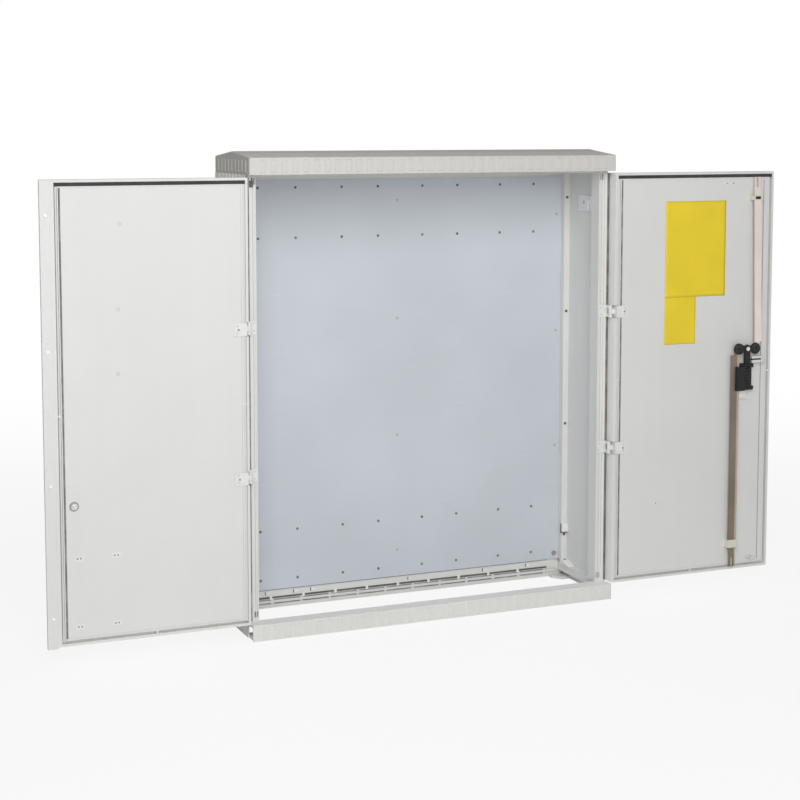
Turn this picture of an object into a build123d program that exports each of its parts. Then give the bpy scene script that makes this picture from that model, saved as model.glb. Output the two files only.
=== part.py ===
"""Roadside utility cabinet: a glass-fibre housing with two doors, standing open.

Frame: millimetres, +Z up, the front looks along -Y. The origin is the middle of
the base on the ground, which is also the middle of the four base bolts.
Both doors are modelled open by half a turn, as they stand when the cabinet is
worked on, and the lock is turned back with its two rods drawn in.
"""

import os
from math import atan2, cos, degrees, radians, sin

from build123d import *

# Housing
width = 1115.0
depth = 320.0
base_height = 45.0
wall_top = 1265.0
roof_skirt = 46.0
roof_rise = 15.0
wall = 4.0
rib_depth = 2.0
rib_pitch = 30.5
rib_width = 17.0
rib_flank = 35.0
corner_radius = 8.0

# Base
sill_depth = 50.0
sill_thick = 4.5
side_ledge = 22.0
side_lip = 24.0
rear_rail_gap = 13.0
rear_rail_height = 55.0
rail_thick = 5.0
rail_line_heights = (13.0, 24.0)
rail_web_count = 12
rail_web_width = 7.0
rail_line_width = 4.0
rail_line_depth = 3.5
gusset_leg_front = 62.0
gusset_leg_rear = 48.0
gusset_thick = 8.0
bolt_inset_x = 42.5
bolt_inset_y = 42.0
bolt_hole = 13.0

# Door frame
lip_back = 42.0
lip_inset = 9.0
lip_width = 8.5
lip_height = 4.5
frame_side = 33.5
jamb_return = 40.0
shoulder_back = 52.0
lintel_drop = 6.0
lintel_rise = 20.0
lintel_return = 24.0
frame_gap = 0.3
jamb_slot_width = 3.4
jamb_slot_pair = 6.6
jamb_slot_height = 18.0
jamb_slot_inset = 18.0
side_seal_gap = 0.4
side_seal_front = 5.2

# Rear posts and mounting plate
post_width = 18.5
post_back = 45.0
post_flange = 34.0
post_wall = 3.0
plate_back_gap = 25.0
plate_thick = 5.0
plate_bottom = 56.0
plate_top = 1242.0
plate_gap = 0.4
field_pitch = 254.0
field_pair = 113.0
field_count = 4
field_row_inset = 29.0
field_row_pitch = 144.0
plate_hole = 5.0
plate_screw_shares = (0.016, 0.3027, 0.6037, 0.9039)
plate_mid_shift = -10.0
post_screw_inset = 15.5
post_screw_low = 136.0
post_screw_pitch = 347.7
post_screw_count = 4
blank_length = 103.0
blank_height = 46.0
blank_thick = 3.0
blank_z = 1166.0
blank_y = 3.0

# Doors
hinge_inset_x = 5.0
hinge_inset_y = 24.0
edge_gap = 6.5
meeting_gap = 3.0
door_thick = 38.0
door_setback = 2.0
door_bottom = 47.0
door_top = 1258.5
door_skin = 4.5
outer_lip = 7.0
groove_width = 8.0
groove_depth = 12.0
inner_lip = 5.0
seat_ledge = 6.0
panel_thick = 4.0
panel_recess = 0.8
panel_gap = 0.3
web_width = 5.0
free_margin_left = 24.0
free_margin_right = 0.0
seal_gap = 0.3
seal_sunk = 0.3

# Hinges
hinge_height = 35.0
barrel_radius = 5.5
pin_radius = 2.5
pin_clearance = 0.05
pin_over = 1.5
leaf_thick = 3.0
leaf_reach = 38.0
leaf_start = 6.0
knuckle_height = 16.0
knuckle_gap = 0.4
notch_depth = 9.0
notch_behind = 24.0
notch_gap = 1.5
frame_leaf_back = 26.5
neck_width = 5.0
hinge_screw = 2.6
hinge_screw_pitch = 20.0

# Closing strip on the left door
strip_width = 27.0
strip_over = 8.0
strip_height = 12.0
strip_wall = 2.0
strip_relief = 1.0
strip_screw_low = 127.0
strip_screw_pitch = 347.3
strip_screw_count = 4
strip_screw_radius = 3.5

# Lock on the right door
spindle_inset = 96.5
spindle_z = 726.0
spindle_radius = 6.0
cam_reach = 29.0
lobe_radius = 17.0
cam_thick = 5.0
cam_tail = 46.0
tail_width = 20.0
rod_throw = 29.0
rod_thick = 4.0
rod_width = 27.0
rod_standoff = 13.0
layer_gap = 0.5
upper_rod_foot_x = 39.5
upper_rod_head_x = 28.5
upper_rod_foot_z = 745.0
upper_rod_neck_z = 1190.0
upper_rod_tip_z = 1242.0
lower_rod_x = 39.0
lower_rod_top_z = 707.0
lower_rod_neck_z = 112.0
lower_rod_tip_z = 60.0
tongue_width = 14.0
tip_width = 21.0
fork_slot = 8.0
fork_depth = 30.0
guide_wall = 3.5
guide_height = 14.0
upper_guide_drop = 9.0
lower_guide_rise = 18.0
lower_guide_extra = 10.0
slide_gap = 0.3
housing_width = 50.0
housing_height = 81.0
housing_top = 680.0
housing_depth = 15.5
housing_notch = 8.0
bridge_left = 39.0
bridge_right = 7.0
bridge_front = 24.8
bridge_gap = 0.7
bridge_drop = 8.0
bracket_length = 62.0
bracket_height = 20.0

# Swing handle outside
plate_outer_width = 62.0
plate_outer_height = 168.0
plate_outer_thick = 7.0
plate_over = 24.0
lever_length = 128.0
lever_width = 26.0
lever_thick = 11.0
lever_gap = 0.6
lever_floor = 1.5
lever_crown = 1.5
lever_pin_inset = 4.0
hub_radius = 15.0
hub_slot = 12.0
lever_pin_radius = 3.0
cylinder_radius = 8.5
cylinder_drop = 104.0

# Screws, studs and marks
screw_head = 4.0
screw_proud = 1.6
stud_radius = 4.0
stud_length = 8.0
stud_inset = 68.5
stud_rise = 368.0
foot_inset = 57.5
foot_rise = 29.0
boss_length = 38.0
boss_height = 16.0
boss_thick = 1.2
mark_radius = 5.0
mark_depth = 0.5
sheet_thick = 0.6
sheet_large = (210.0, 297.0)
sheet_small = (105.0, 148.0)
sheet_top = 1176.0
sheet_inset = 169.0

# Worked out from the sizes above
half_w = width / 2
half_d = depth / 2
bolt_spacing_x = width - 2 * bolt_inset_x
bolt_spacing_y = depth - 2 * bolt_inset_y
lip_front = half_d - lip_back
lip_outer = half_w - lip_inset
lip_inner = lip_outer - lip_width
jamb_inner = half_w - frame_side
shoulder_front = half_d - shoulder_back
post_front = half_d - post_back
plate_front = half_d - plate_back_gap
hinge_x = half_w - hinge_inset_x
hinge_y = hinge_inset_y - half_d
door_width = hinge_x - edge_gap - meeting_gap / 2
skin_w = half_w - rib_depth
skin_d = half_d - rib_depth
wall_in = skin_w - wall
rear_in = skin_d - wall
eaves = wall_top + roof_skirt
sill_back = -half_d + sill_depth
rail_front = half_d - rear_rail_gap - rail_thick
closed_outer = -half_d + door_setback
closed_inner = closed_outer + door_thick
open_inner = 2 * hinge_y - closed_inner
open_outer = 2 * hinge_y - closed_outer
door_near = hinge_x + edge_gap
door_far = door_near + door_width
door_mid_x = (door_near + door_far) / 2
door_mid_z = (door_bottom + door_top) / 2
door_height = door_top - door_bottom
border = outer_lip + groove_width + inner_lip
panel_h = door_height - 2 * (border + panel_gap)
panel_face = open_inner + panel_recess
hinge_levels = (door_mid_z + door_height / 6, door_mid_z - door_height / 6)
leaf_face = open_inner - leaf_thick
post_outer = wall_in
post_inner = post_outer - post_width
plate_half = post_inner - plate_gap
spindle_x = door_far - spindle_inset
rod_back = panel_face - rod_standoff
rod_front = rod_back - rod_thick
cam_back = rod_front - layer_gap
cam_front = cam_back - cam_thick
hub_face = open_outer + plate_outer_thick + lever_gap
lever_pin_x = spindle_x - lever_pin_inset
lever_mid_y = hub_face + lever_floor + lever_thick / 2
sides = (("left", -1), ("right", 1))
free_margin = {"left": free_margin_left, "right": free_margin_right}
ring_width = {side: door_width - free_margin[side] for side, sign in sides}
ring_x = {side: sign * (door_mid_x - free_margin[side] / 2) for side, sign in sides}

os.makedirs("parts", exist_ok=True)


def save(builder, name):
    """Label one finished piece and write it as its own file."""
    builder.part.label = name
    export_step(builder.part, f"parts/{name}.step")


def plane_y(y):
    """A plane facing the front at this y; its sketch axes are X and Z."""
    return Plane.XZ.offset(-y)


def plane_x(x):
    """A plane facing the right at this x; its sketch axes are Y and Z."""
    return Plane.YZ.offset(x)


def rib_count(length):
    """How many ribs fit on a face of this length with a plain margin."""
    return max(1, int((length - 0.6 * rib_pitch) // rib_pitch))


def outward(side, distance):
    """The plane of an outer face, looking outward, this far from the middle."""
    looks = {
        "front": Plane(origin=(0, -distance, 0), x_dir=(1, 0, 0), z_dir=(0, -1, 0)),
        "rear": Plane(origin=(0, distance, 0), x_dir=(-1, 0, 0), z_dir=(0, 1, 0)),
        "left": Plane(origin=(-distance, 0, 0), x_dir=(0, -1, 0), z_dir=(-1, 0, 0)),
        "right": Plane(origin=(distance, 0, 0), x_dir=(0, 1, 0), z_dir=(1, 0, 0)),
    }
    return looks[side]


def ribs(plane, middle, length, height):
    """The feet of the upright ribs that cover a face of this length and height."""
    with BuildSketch(plane, mode=Mode.PRIVATE) as feet:
        with Locations(middle):
            with GridLocations(rib_pitch, 0, rib_count(length), 1):
                Rectangle(rib_width, height)
    return feet.sketch


# Roof: a shallow gabled cap with a ribbed skirt
with BuildPart() as roof:
    with BuildSketch(plane_x(-skin_w)):
        with BuildLine():
            Polyline(
                (-skin_d, wall_top),
                (-skin_d, eaves),
                (0, eaves + roof_rise),
                (skin_d, eaves),
                (skin_d, wall_top),
                close=True,
            )
        make_face()
    extrude(amount=2 * skin_w)
    upright = roof.edges().filter_by(Axis.Z)
    fillet(upright, corner_radius)
    rim = roof.edges().filter_by_position(Axis.Z, eaves - 1, eaves + roof_rise + 1)
    fillet(rim, 3.0)
    with BuildSketch(plane_x(-wall_in)):
        with BuildLine():
            Polyline(
                (-rear_in, wall_top),
                (-rear_in, eaves - wall),
                (0, eaves + roof_rise - wall),
                (rear_in, eaves - wall),
                (rear_in, wall_top),
                close=True,
            )
        make_face()
    extrude(amount=2 * wall_in, mode=Mode.SUBTRACT)
    skirt_mid = wall_top + roof_skirt / 2
    skirt_rib = roof_skirt - 12
    for side, reach, length in (
        ("front", skin_d, 2 * skin_w),
        ("rear", skin_d, 2 * skin_w),
        ("left", skin_w, 2 * skin_d),
        ("right", skin_w, 2 * skin_d),
    ):
        feet = ribs(outward(side, reach), (0, skirt_mid), length, skirt_rib)
        extrude(feet, amount=rib_depth, taper=rib_flank)
save(roof, "roof")

# Side walls, ribbed outside, standing on the side rails of the base
wall_mid_z = (base_height + wall_top) / 2
wall_run = wall_top - base_height
for side, sign in sides:
    with BuildPart() as side_wall:
        with BuildSketch(plane_x(sign * wall_in)):
            with Locations(((rear_in - shoulder_front) / 2, wall_mid_z)):
                Rectangle(rear_in + shoulder_front, wall_run)
        extrude(amount=sign * wall)
        run_y = rear_in + shoulder_front
        middle = (sign * (rear_in - shoulder_front) / 2, wall_mid_z)
        feet = ribs(outward(side, skin_w), middle, run_y, wall_run)
        extrude(feet, amount=rib_depth, taper=rib_flank)
    save(side_wall, f"side_wall_{side}")

# Rear wall, lapping over the ends of both side walls
with BuildPart() as rear_wall:
    with BuildSketch(plane_y(rear_in)):
        with Locations((0, wall_mid_z)):
            Rectangle(2 * skin_w, wall_run)
    extrude(amount=-wall)
    fillet(rear_wall.edges().filter_by(Axis.Z).group_by(Axis.Y)[-1], wall - 0.5)
    feet = ribs(outward("rear", skin_d), (0, wall_mid_z), 2 * skin_w - 4 * corner_radius, wall_run)
    extrude(feet, amount=rib_depth, taper=rib_flank)
save(rear_wall, "rear_wall")

# Front rail of the base: ribbed face, deep sill and a stiffening lip behind
with BuildPart() as base_front_rail:
    with BuildSketch(plane_x(-skin_w)):
        with BuildLine():
            Polyline(
                (-skin_d, 0),
                (-skin_d, base_height),
                (sill_back, base_height),
                (sill_back, base_height - 14),
                (sill_back - sill_thick, base_height - 14),
                (sill_back - sill_thick, base_height - sill_thick),
                (-skin_d + wall, base_height - sill_thick),
                (-skin_d + wall, 0),
                close=True,
            )
        make_face()
    extrude(amount=2 * skin_w)
    fillet(base_front_rail.edges().filter_by(Axis.Z).group_by(Axis.Y)[0], wall - 0.5)
    feet = ribs(outward("front", skin_d), (0, base_height / 2), 2 * skin_w, base_height - 11)
    extrude(feet, amount=rib_depth, taper=rib_flank)
save(base_front_rail, "base_front_rail")

# Rear rail of the base: channel with an upstand and two lines along its face
with BuildPart() as base_rear_rail:
    with BuildSketch(plane_x(-skin_w)):
        with BuildLine():
            Polyline(
                (rail_front, 0),
                (rail_front, rear_rail_height),
                (rail_front + rail_thick, rear_rail_height),
                (rail_front + rail_thick, base_height),
                (skin_d, base_height),
                (skin_d, 0),
                (skin_d - wall, 0),
                (skin_d - wall, base_height - wall),
                (rail_front + rail_thick, base_height - wall),
                (rail_front + rail_thick, 0),
                close=True,
            )
        make_face()
    extrude(amount=2 * skin_w)
    with BuildSketch(plane_y(rail_front)):
        with Locations((0, rail_line_heights[0]), (0, rail_line_heights[1])):
            Rectangle(2 * post_inner, rail_line_width)
    extrude(amount=-rail_line_depth, mode=Mode.SUBTRACT)
    with BuildSketch(plane_y(rail_front + rail_line_depth)):
        with Locations((0, sum(rail_line_heights) / 2)):
            with GridLocations(2 * post_inner / rail_web_count, 0, rail_web_count, 1):
                Rectangle(rail_web_width, rail_line_heights[1] - rail_line_heights[0] + rail_line_width)
    extrude(amount=rail_line_depth)
    for sign in (-1, 1):
        corner_in = wall_in - post_wall - frame_gap
        corner_mid = sign * (corner_in + skin_w) / 2
        with BuildSketch(Plane.XY.offset(base_height)):
            with Locations((corner_mid, rail_front + rail_thick / 2)):
                Rectangle(skin_w - corner_in, rail_thick)
        extrude(amount=rear_rail_height - base_height, mode=Mode.SUBTRACT)
    fillet(base_rear_rail.edges().filter_by(Axis.Z).group_by(Axis.Y)[-1], wall - 0.5)
    feet = ribs(outward("rear", skin_d), (0, base_height / 2), 2 * skin_w, base_height - 11)
    extrude(feet, amount=rib_depth, taper=rib_flank)
save(base_rear_rail, "base_rear_rail")

# Side rails of the base: a ribbed wall with a ledge that walls and jambs stand on
side_run = rail_front - sill_back
side_mid = (rail_front + sill_back) / 2
for side, sign in sides:
    with BuildPart() as base_side_rail:
        with BuildSketch(plane_y(sill_back)):
            with BuildLine():
                Polyline(
                    (sign * skin_w, 0),
                    (sign * skin_w, base_height),
                    (sign * (skin_w - side_ledge), base_height),
                    (sign * (skin_w - side_ledge), base_height - side_lip),
                    (sign * (skin_w - side_ledge + wall), base_height - side_lip),
                    (sign * (skin_w - side_ledge + wall), base_height - wall),
                    (sign * wall_in, base_height - wall),
                    (sign * wall_in, 0),
                    close=True,
                )
            make_face()
        extrude(amount=-side_run)
        middle = (sign * side_mid, base_height / 2)
        feet = ribs(outward(side, skin_w), middle, side_run, base_height - 11)
        extrude(feet, amount=rib_depth, taper=rib_flank)
    save(base_side_rail, f"base_side_rail_{side}")

# Corner gussets that tie the rails together and take the base bolts
bolt_x = bolt_spacing_x / 2
bolt_y = bolt_spacing_y / 2
for row, end, wall_y, leg in (
    ("front", -1, -skin_d + wall, gusset_leg_front),
    ("rear", 1, rail_front, gusset_leg_rear),
):
    for side, sign in sides:
        with BuildPart() as gusset:
            with BuildSketch(Plane.XY):
                with BuildLine():
                    Polyline(
                        (sign * wall_in, wall_y),
                        (sign * (wall_in - leg), wall_y),
                        (sign * (wall_in - leg), wall_y - end * 22),
                        (sign * (wall_in - 28), wall_y - end * leg),
                        (sign * wall_in, wall_y - end * leg),
                        close=True,
                    )
                make_face()
                with Locations((sign * bolt_x, end * bolt_y)):
                    Circle(bolt_hole / 2, mode=Mode.SUBTRACT)
            extrude(amount=gusset_thick)
        save(gusset, f"base_gusset_{row}_{side}")

# Door jambs: a folded section with the sealing lip that the door closes over
jamb_back = shoulder_front - jamb_return
jamb_front = lip_front - lip_height
pocket = hinge_height + 2 * notch_gap
for side, sign in sides:
    with BuildPart() as jamb:
        with BuildSketch(Plane.XY.offset(base_height)):
            with BuildLine():
                Polyline(
                    (sign * jamb_inner, -jamb_front),
                    (sign * lip_inner, -jamb_front),
                    (sign * lip_inner, -lip_front),
                    (sign * lip_outer, -lip_front),
                    (sign * lip_outer, -shoulder_front),
                    (sign * wall_in, -shoulder_front),
                    (sign * wall_in, -jamb_back),
                    (sign * (wall_in - wall), -jamb_back),
                    (sign * (wall_in - wall), -shoulder_front + wall),
                    (sign * (jamb_inner + wall), -shoulder_front + wall),
                    (sign * (jamb_inner + wall), -jamb_back),
                    (sign * jamb_inner, -jamb_back),
                    close=True,
                )
            make_face()
        extrude(amount=wall_run)
        with BuildSketch(plane_y(-lip_front)):
            for level in hinge_levels:
                with Locations((sign * (lip_inner + lip_outer) / 2, level)):
                    Rectangle(lip_outer - lip_inner, pocket)
        extrude(amount=-lip_height, mode=Mode.SUBTRACT)
        with BuildSketch(plane_y(-jamb_front)):
            for level in (base_height + jamb_slot_inset, wall_top - jamb_slot_inset):
                with Locations((sign * (jamb_inner + lip_inner) / 2, level)):
                    with GridLocations(jamb_slot_pair, 0, 2, 1):
                        SlotOverall(jamb_slot_height, jamb_slot_width, rotation=90)
        extrude(amount=-2 * lip_height - wall, mode=Mode.SUBTRACT)
    save(jamb, f"jamb_{side}")

# Side seals of the frame: they close the slit between jamb and open door
for side, sign in sides:
    seal_in = lip_outer + 0.5
    seal_out = door_near - side_seal_gap
    with BuildPart() as side_seal:
        with BuildSketch(Plane.XY.offset(door_bottom)):
            with Locations((sign * (seal_in + seal_out) / 2, -shoulder_front - side_seal_front / 2)):
                Rectangle(seal_out - seal_in, side_seal_front - 0.1)
        extrude(amount=door_height)
    save(side_seal, f"frame_seal_{side}")

# Lintel between the jambs, resting on their heads
with BuildPart() as lintel:
    with BuildSketch(plane_y(-lip_front)):
        with Locations((0, wall_top + lintel_rise / 2)):
            Rectangle(2 * wall_in - 2 * frame_gap, lintel_rise)
        with Locations((0, wall_top - lintel_drop / 2)):
            Rectangle(2 * jamb_inner - 2 * frame_gap, lintel_drop)
    extrude(amount=-wall)
    with BuildSketch(plane_y(-lip_front + wall)):
        with Locations((0, wall_top + lintel_rise - wall / 2)):
            Rectangle(2 * wall_in - 2 * frame_gap, wall)
    extrude(amount=-lintel_return)
save(lintel, "lintel")

# Rear corner posts: a box rail in each corner with a flange behind the plate
post_run = wall_top - base_height
plate_back = plate_front + plate_thick
screw_levels = [post_screw_low + i * post_screw_pitch for i in range(post_screw_count)]
for side, sign in sides:
    with BuildPart() as post:
        with BuildSketch(Plane.XY.offset(base_height)):
            with BuildLine():
                Polyline(
                    (sign * post_outer, post_front),
                    (sign * post_inner, post_front),
                    (sign * post_inner, plate_back),
                    (sign * (post_inner - post_flange), plate_back),
                    (sign * (post_inner - post_flange), plate_back + post_wall),
                    (sign * (post_inner + post_wall), plate_back + post_wall),
                    (sign * (post_inner + post_wall), post_front + post_wall),
                    (sign * (post_outer - post_wall), post_front + post_wall),
                    (sign * (post_outer - post_wall), rear_in),
                    (sign * post_outer, rear_in),
                    close=True,
                )
            make_face()
        extrude(amount=post_run)
        with BuildSketch(plane_x(sign * (post_inner - post_flange))):
            with Locations((plate_back, base_height)):
                Rectangle(2 * rear_rail_gap, 2 * (rear_rail_height - base_height + 1))
        extrude(amount=sign * (post_flange + post_wall), mode=Mode.SUBTRACT)
        with BuildSketch(plane_y(post_front)):
            for level in screw_levels:
                with Locations((sign * (post_inner + post_outer) / 2, level)):
                    Circle(plate_hole / 2)
        extrude(amount=-post_wall, mode=Mode.SUBTRACT)
    save(post, f"rear_post_{side}")

# Screws of the rear posts, one group
with BuildPart() as post_screws:
    for side, sign in sides:
        for level in screw_levels:
            with BuildSketch(plane_y(post_front)):
                with Locations((sign * (post_inner + post_outer) / 2, level)):
                    Circle(screw_head)
            extrude(amount=screw_proud)
            with BuildSketch(plane_y(post_front)):
                with Locations((sign * (post_inner + post_outer) / 2, level)):
                    Circle(plate_hole / 2)
            extrude(amount=-6)
save(post_screws, "rear_post_screws")

# Mounting plate with its fields of fixing holes
plate_mid_z = (plate_bottom + plate_top) / 2
field_rows = (
    plate_bottom + field_row_inset,
    plate_bottom + field_row_inset + field_row_pitch,
    plate_top - field_row_inset + 7 - field_row_pitch,
    plate_top - field_row_inset + 7,
)
plate_screw_x = plate_half - post_screw_inset
plate_screw_levels = [plate_bottom + s * (plate_top - plate_bottom) for s in plate_screw_shares]
plate_mid_levels = [post_screw_low + i * post_screw_pitch for i in range(post_screw_count)]
plate_screw_spots = [
    (x, level) for level in plate_screw_levels for x in (-plate_screw_x, plate_screw_x)
] + [(plate_mid_shift, level) for level in plate_mid_levels]
with BuildPart() as mounting_plate:
    with BuildSketch(plane_y(plate_front)):
        with Locations((0, plate_mid_z)):
            RectangleRounded(2 * plate_half, plate_top - plate_bottom, 3)
        for level in field_rows:
            with Locations((0, level)):
                with GridLocations(field_pitch, 0, field_count, 1):
                    with GridLocations(field_pair, 0, 2, 1):
                        Circle(plate_hole / 2, mode=Mode.SUBTRACT)
        with Locations(*plate_screw_spots):
            Circle(plate_hole / 2, mode=Mode.SUBTRACT)
    extrude(amount=-plate_thick)
save(mounting_plate, "mounting_plate")

# Screws that hold the mounting plate to the flanges of the rear posts
with BuildPart() as plate_screws:
    for spot in plate_screw_spots:
        with BuildSketch(plane_y(plate_front)):
            with Locations(spot):
                Circle(screw_head)
        extrude(amount=screw_proud)
        with BuildSketch(plane_y(plate_front)):
            with Locations(spot):
                Circle(plate_hole / 2)
        extrude(amount=-plate_thick)
save(plate_screws, "mounting_plate_screws")

# Blank plate on the inside of the right wall
with BuildPart() as blank_plate:
    with BuildSketch(plane_x(wall_in)):
        with Locations((blank_y, blank_z)):
            RectangleRounded(blank_length, blank_height, 3)
    extrude(amount=-blank_thick)
    fillet(blank_plate.faces().sort_by(Axis.X)[0].edges(), 0.8)
save(blank_plate, "blank_plate")

# Door shells: ribbed skin, hollow inside, with the labyrinth groove all round
seat_depth = panel_thick + panel_recess
notch_height = hinge_height + 2 * notch_gap
for side, sign in sides:
    mid_x = sign * door_mid_x
    outer_base = open_outer - rib_depth
    with BuildPart() as door_shell:
        with BuildSketch(plane_y(open_inner)):
            with Locations((mid_x, door_mid_z)):
                Rectangle(door_width, door_height)
        extrude(amount=-(door_thick - rib_depth))
        fillet(door_shell.faces().sort_by(Axis.Y)[-1].edges(), 2.5)
        with BuildSketch(plane_y(open_inner)):
            with Locations((ring_x[side], door_mid_z)):
                Rectangle(ring_width[side] - 2 * border, door_height - 2 * border)
        extrude(amount=-seat_depth, mode=Mode.SUBTRACT)
        with BuildSketch(plane_y(open_inner)):
            with Locations((ring_x[side], door_mid_z)):
                inset = 2 * (border + seat_ledge)
                Rectangle(ring_width[side] - inset, door_height - inset)
        extrude(amount=-(door_thick - rib_depth - door_skin), mode=Mode.SUBTRACT)
        with BuildSketch(plane_y(open_inner)):
            with Locations((ring_x[side], door_mid_z)):
                Rectangle(ring_width[side] - 2 * outer_lip, door_height - 2 * outer_lip)
                inset = 2 * (outer_lip + groove_width)
                Rectangle(ring_width[side] - inset, door_height - inset, mode=Mode.SUBTRACT)
        extrude(amount=-groove_depth, mode=Mode.SUBTRACT)
        with BuildSketch(plane_y(open_inner + 1)):
            reach_x = ring_width[side] / 2 - outer_lip - groove_width / 2
            reach_z = door_height / 2 - outer_lip - groove_width / 2
            with Locations((ring_x[side], door_mid_z)):
                with GridLocations(2 * reach_x, 0, 2, 1):
                    Rectangle(groove_width, web_width)
            with Locations((ring_x[side], door_mid_z - reach_z)):
                Rectangle(web_width, groove_width)
        extrude(amount=-(groove_depth - 1))
        feet = ribs(outward("rear", outer_base), (-mid_x, door_mid_z), door_width, door_height - 34)
        extrude(feet, amount=rib_depth, taper=rib_flank)
        with BuildSketch(plane_y(open_inner)):
            for level in hinge_levels:
                with Locations((sign * (door_near + notch_depth / 2), level)):
                    Rectangle(notch_depth, notch_height)
        extrude(amount=-notch_behind, mode=Mode.SUBTRACT)
        if side == "right":
            with BuildSketch(plane_y(open_inner)):
                with Locations((spindle_x, spindle_z)):
                    Circle(spindle_radius + 2)
            extrude(amount=-door_thick, mode=Mode.SUBTRACT)
    save(door_shell, f"{side}_door_shell")

# Inner panels of the doors, let into the shell, with their fixing marks
mark_spots = {
    side: [
        (sign * (start + step), door_bottom + rise) for step in steps for rise in (54.0, 229.0)
    ]
    for side, sign, start, steps in (
        ("left", -1, door_far, (-80.5, -178.5)),
        ("right", 1, door_near, (49.0, 159.0)),
    )
}
for side, sign in sides:
    with BuildPart() as inner_panel:
        with BuildSketch(plane_y(panel_face)):
            with Locations((ring_x[side], door_mid_z)):
                Rectangle(ring_width[side] - 2 * (border + panel_gap), panel_h)
        extrude(amount=-panel_thick)
        with BuildSketch(plane_y(panel_face)):
            with Locations(*mark_spots[side]):
                Circle(mark_radius)
                Circle(mark_radius - 1.2, mode=Mode.SUBTRACT)
        extrude(amount=-mark_depth, mode=Mode.SUBTRACT)
        if side == "right":
            with BuildSketch(plane_y(panel_face)):
                with Locations((spindle_x, spindle_z)):
                    Circle(spindle_radius + 2)
            extrude(amount=-panel_thick, mode=Mode.SUBTRACT)
    save(inner_panel, f"{side}_door_inner_panel")

# Black seals in the top groove of each door
seal_width = groove_width - 2 * seal_gap
for side, sign in sides:
    with BuildPart() as seal:
        with BuildSketch(plane_y(open_inner + seal_sunk)):
            with Locations((ring_x[side], door_top - outer_lip - groove_width / 2)):
                Rectangle(ring_width[side] - 2 * (outer_lip + seal_gap), seal_width)
        extrude(amount=-(groove_depth - seal_sunk - seal_gap))
        fillet(seal.faces().sort_by(Axis.Y)[0].edges().filter_by(Axis.X), 1.5)
    save(seal, f"{side}_door_top_seal")

# Closing strip: a channel on the free edge of the left door
strip_outer = door_far + strip_over
strip_inner = strip_outer - strip_width
strip_levels = [strip_screw_low + i * strip_screw_pitch for i in range(strip_screw_count)]
strip_screw_x = -(door_far - outer_lip)
strip_front = open_inner - strip_height
with BuildPart() as closing_strip:
    with BuildSketch(Plane.XY.offset(door_bottom)):
        with BuildLine():
            Polyline(
                (-strip_outer, open_inner - strip_relief),
                (-strip_outer, strip_front),
                (-strip_inner, strip_front),
                (-strip_inner, open_inner),
                (-strip_inner - strip_wall, open_inner),
                (-strip_inner - strip_wall, strip_front + strip_wall),
                (-strip_outer + strip_wall, strip_front + strip_wall),
                (-strip_outer + strip_wall, open_inner - strip_relief),
                close=True,
            )
        make_face()
    extrude(amount=door_height)
    for level in strip_levels:
        with BuildSketch(plane_y(strip_front + strip_wall)):
            with Locations((strip_screw_x, level)):
                Circle(strip_screw_radius + 2)
        extrude(amount=-(strip_height - strip_wall))
        with BuildSketch(plane_y(strip_front)):
            with Locations((strip_screw_x, level)):
                Circle(strip_screw_radius - 1)
        extrude(amount=-strip_height, mode=Mode.SUBTRACT)
save(closing_strip, "closing_strip")

# Screws of the closing strip, one group
with BuildPart() as strip_screws:
    for level in strip_levels:
        with BuildSketch(plane_y(strip_front)):
            with Locations((strip_screw_x, level)):
                Circle(strip_screw_radius + 0.8)
        extrude(amount=screw_proud)
        with BuildSketch(plane_y(strip_front)):
            with Locations((strip_screw_x, level)):
                Circle(strip_screw_radius - 1)
        extrude(amount=-strip_height)
save(strip_screws, "closing_strip_screws")

# Metal stud on the left door and foot boss on the right door
for name, stud_x, stud_z, radius in (
    ("left_door_stud", stud_inset - door_far, door_bottom + stud_rise, stud_radius),
    ("right_door_stud", door_far - foot_inset, door_bottom + foot_rise, stud_radius + 1),
):
    with BuildPart() as stud:
        with BuildSketch(plane_y(panel_face)):
            with Locations((stud_x, stud_z)):
                Circle(radius)
        extrude(amount=stud_length)
        fillet(stud.faces().sort_by(Axis.Y)[0].edges(), 1.2)
        if name == "right_door_stud":
            with BuildSketch(plane_y(panel_face)):
                with Locations((stud_x, stud_z)):
                    Ellipse(boss_length / 2, boss_height / 2)
            extrude(amount=boss_thick)
    save(stud, name)

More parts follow.
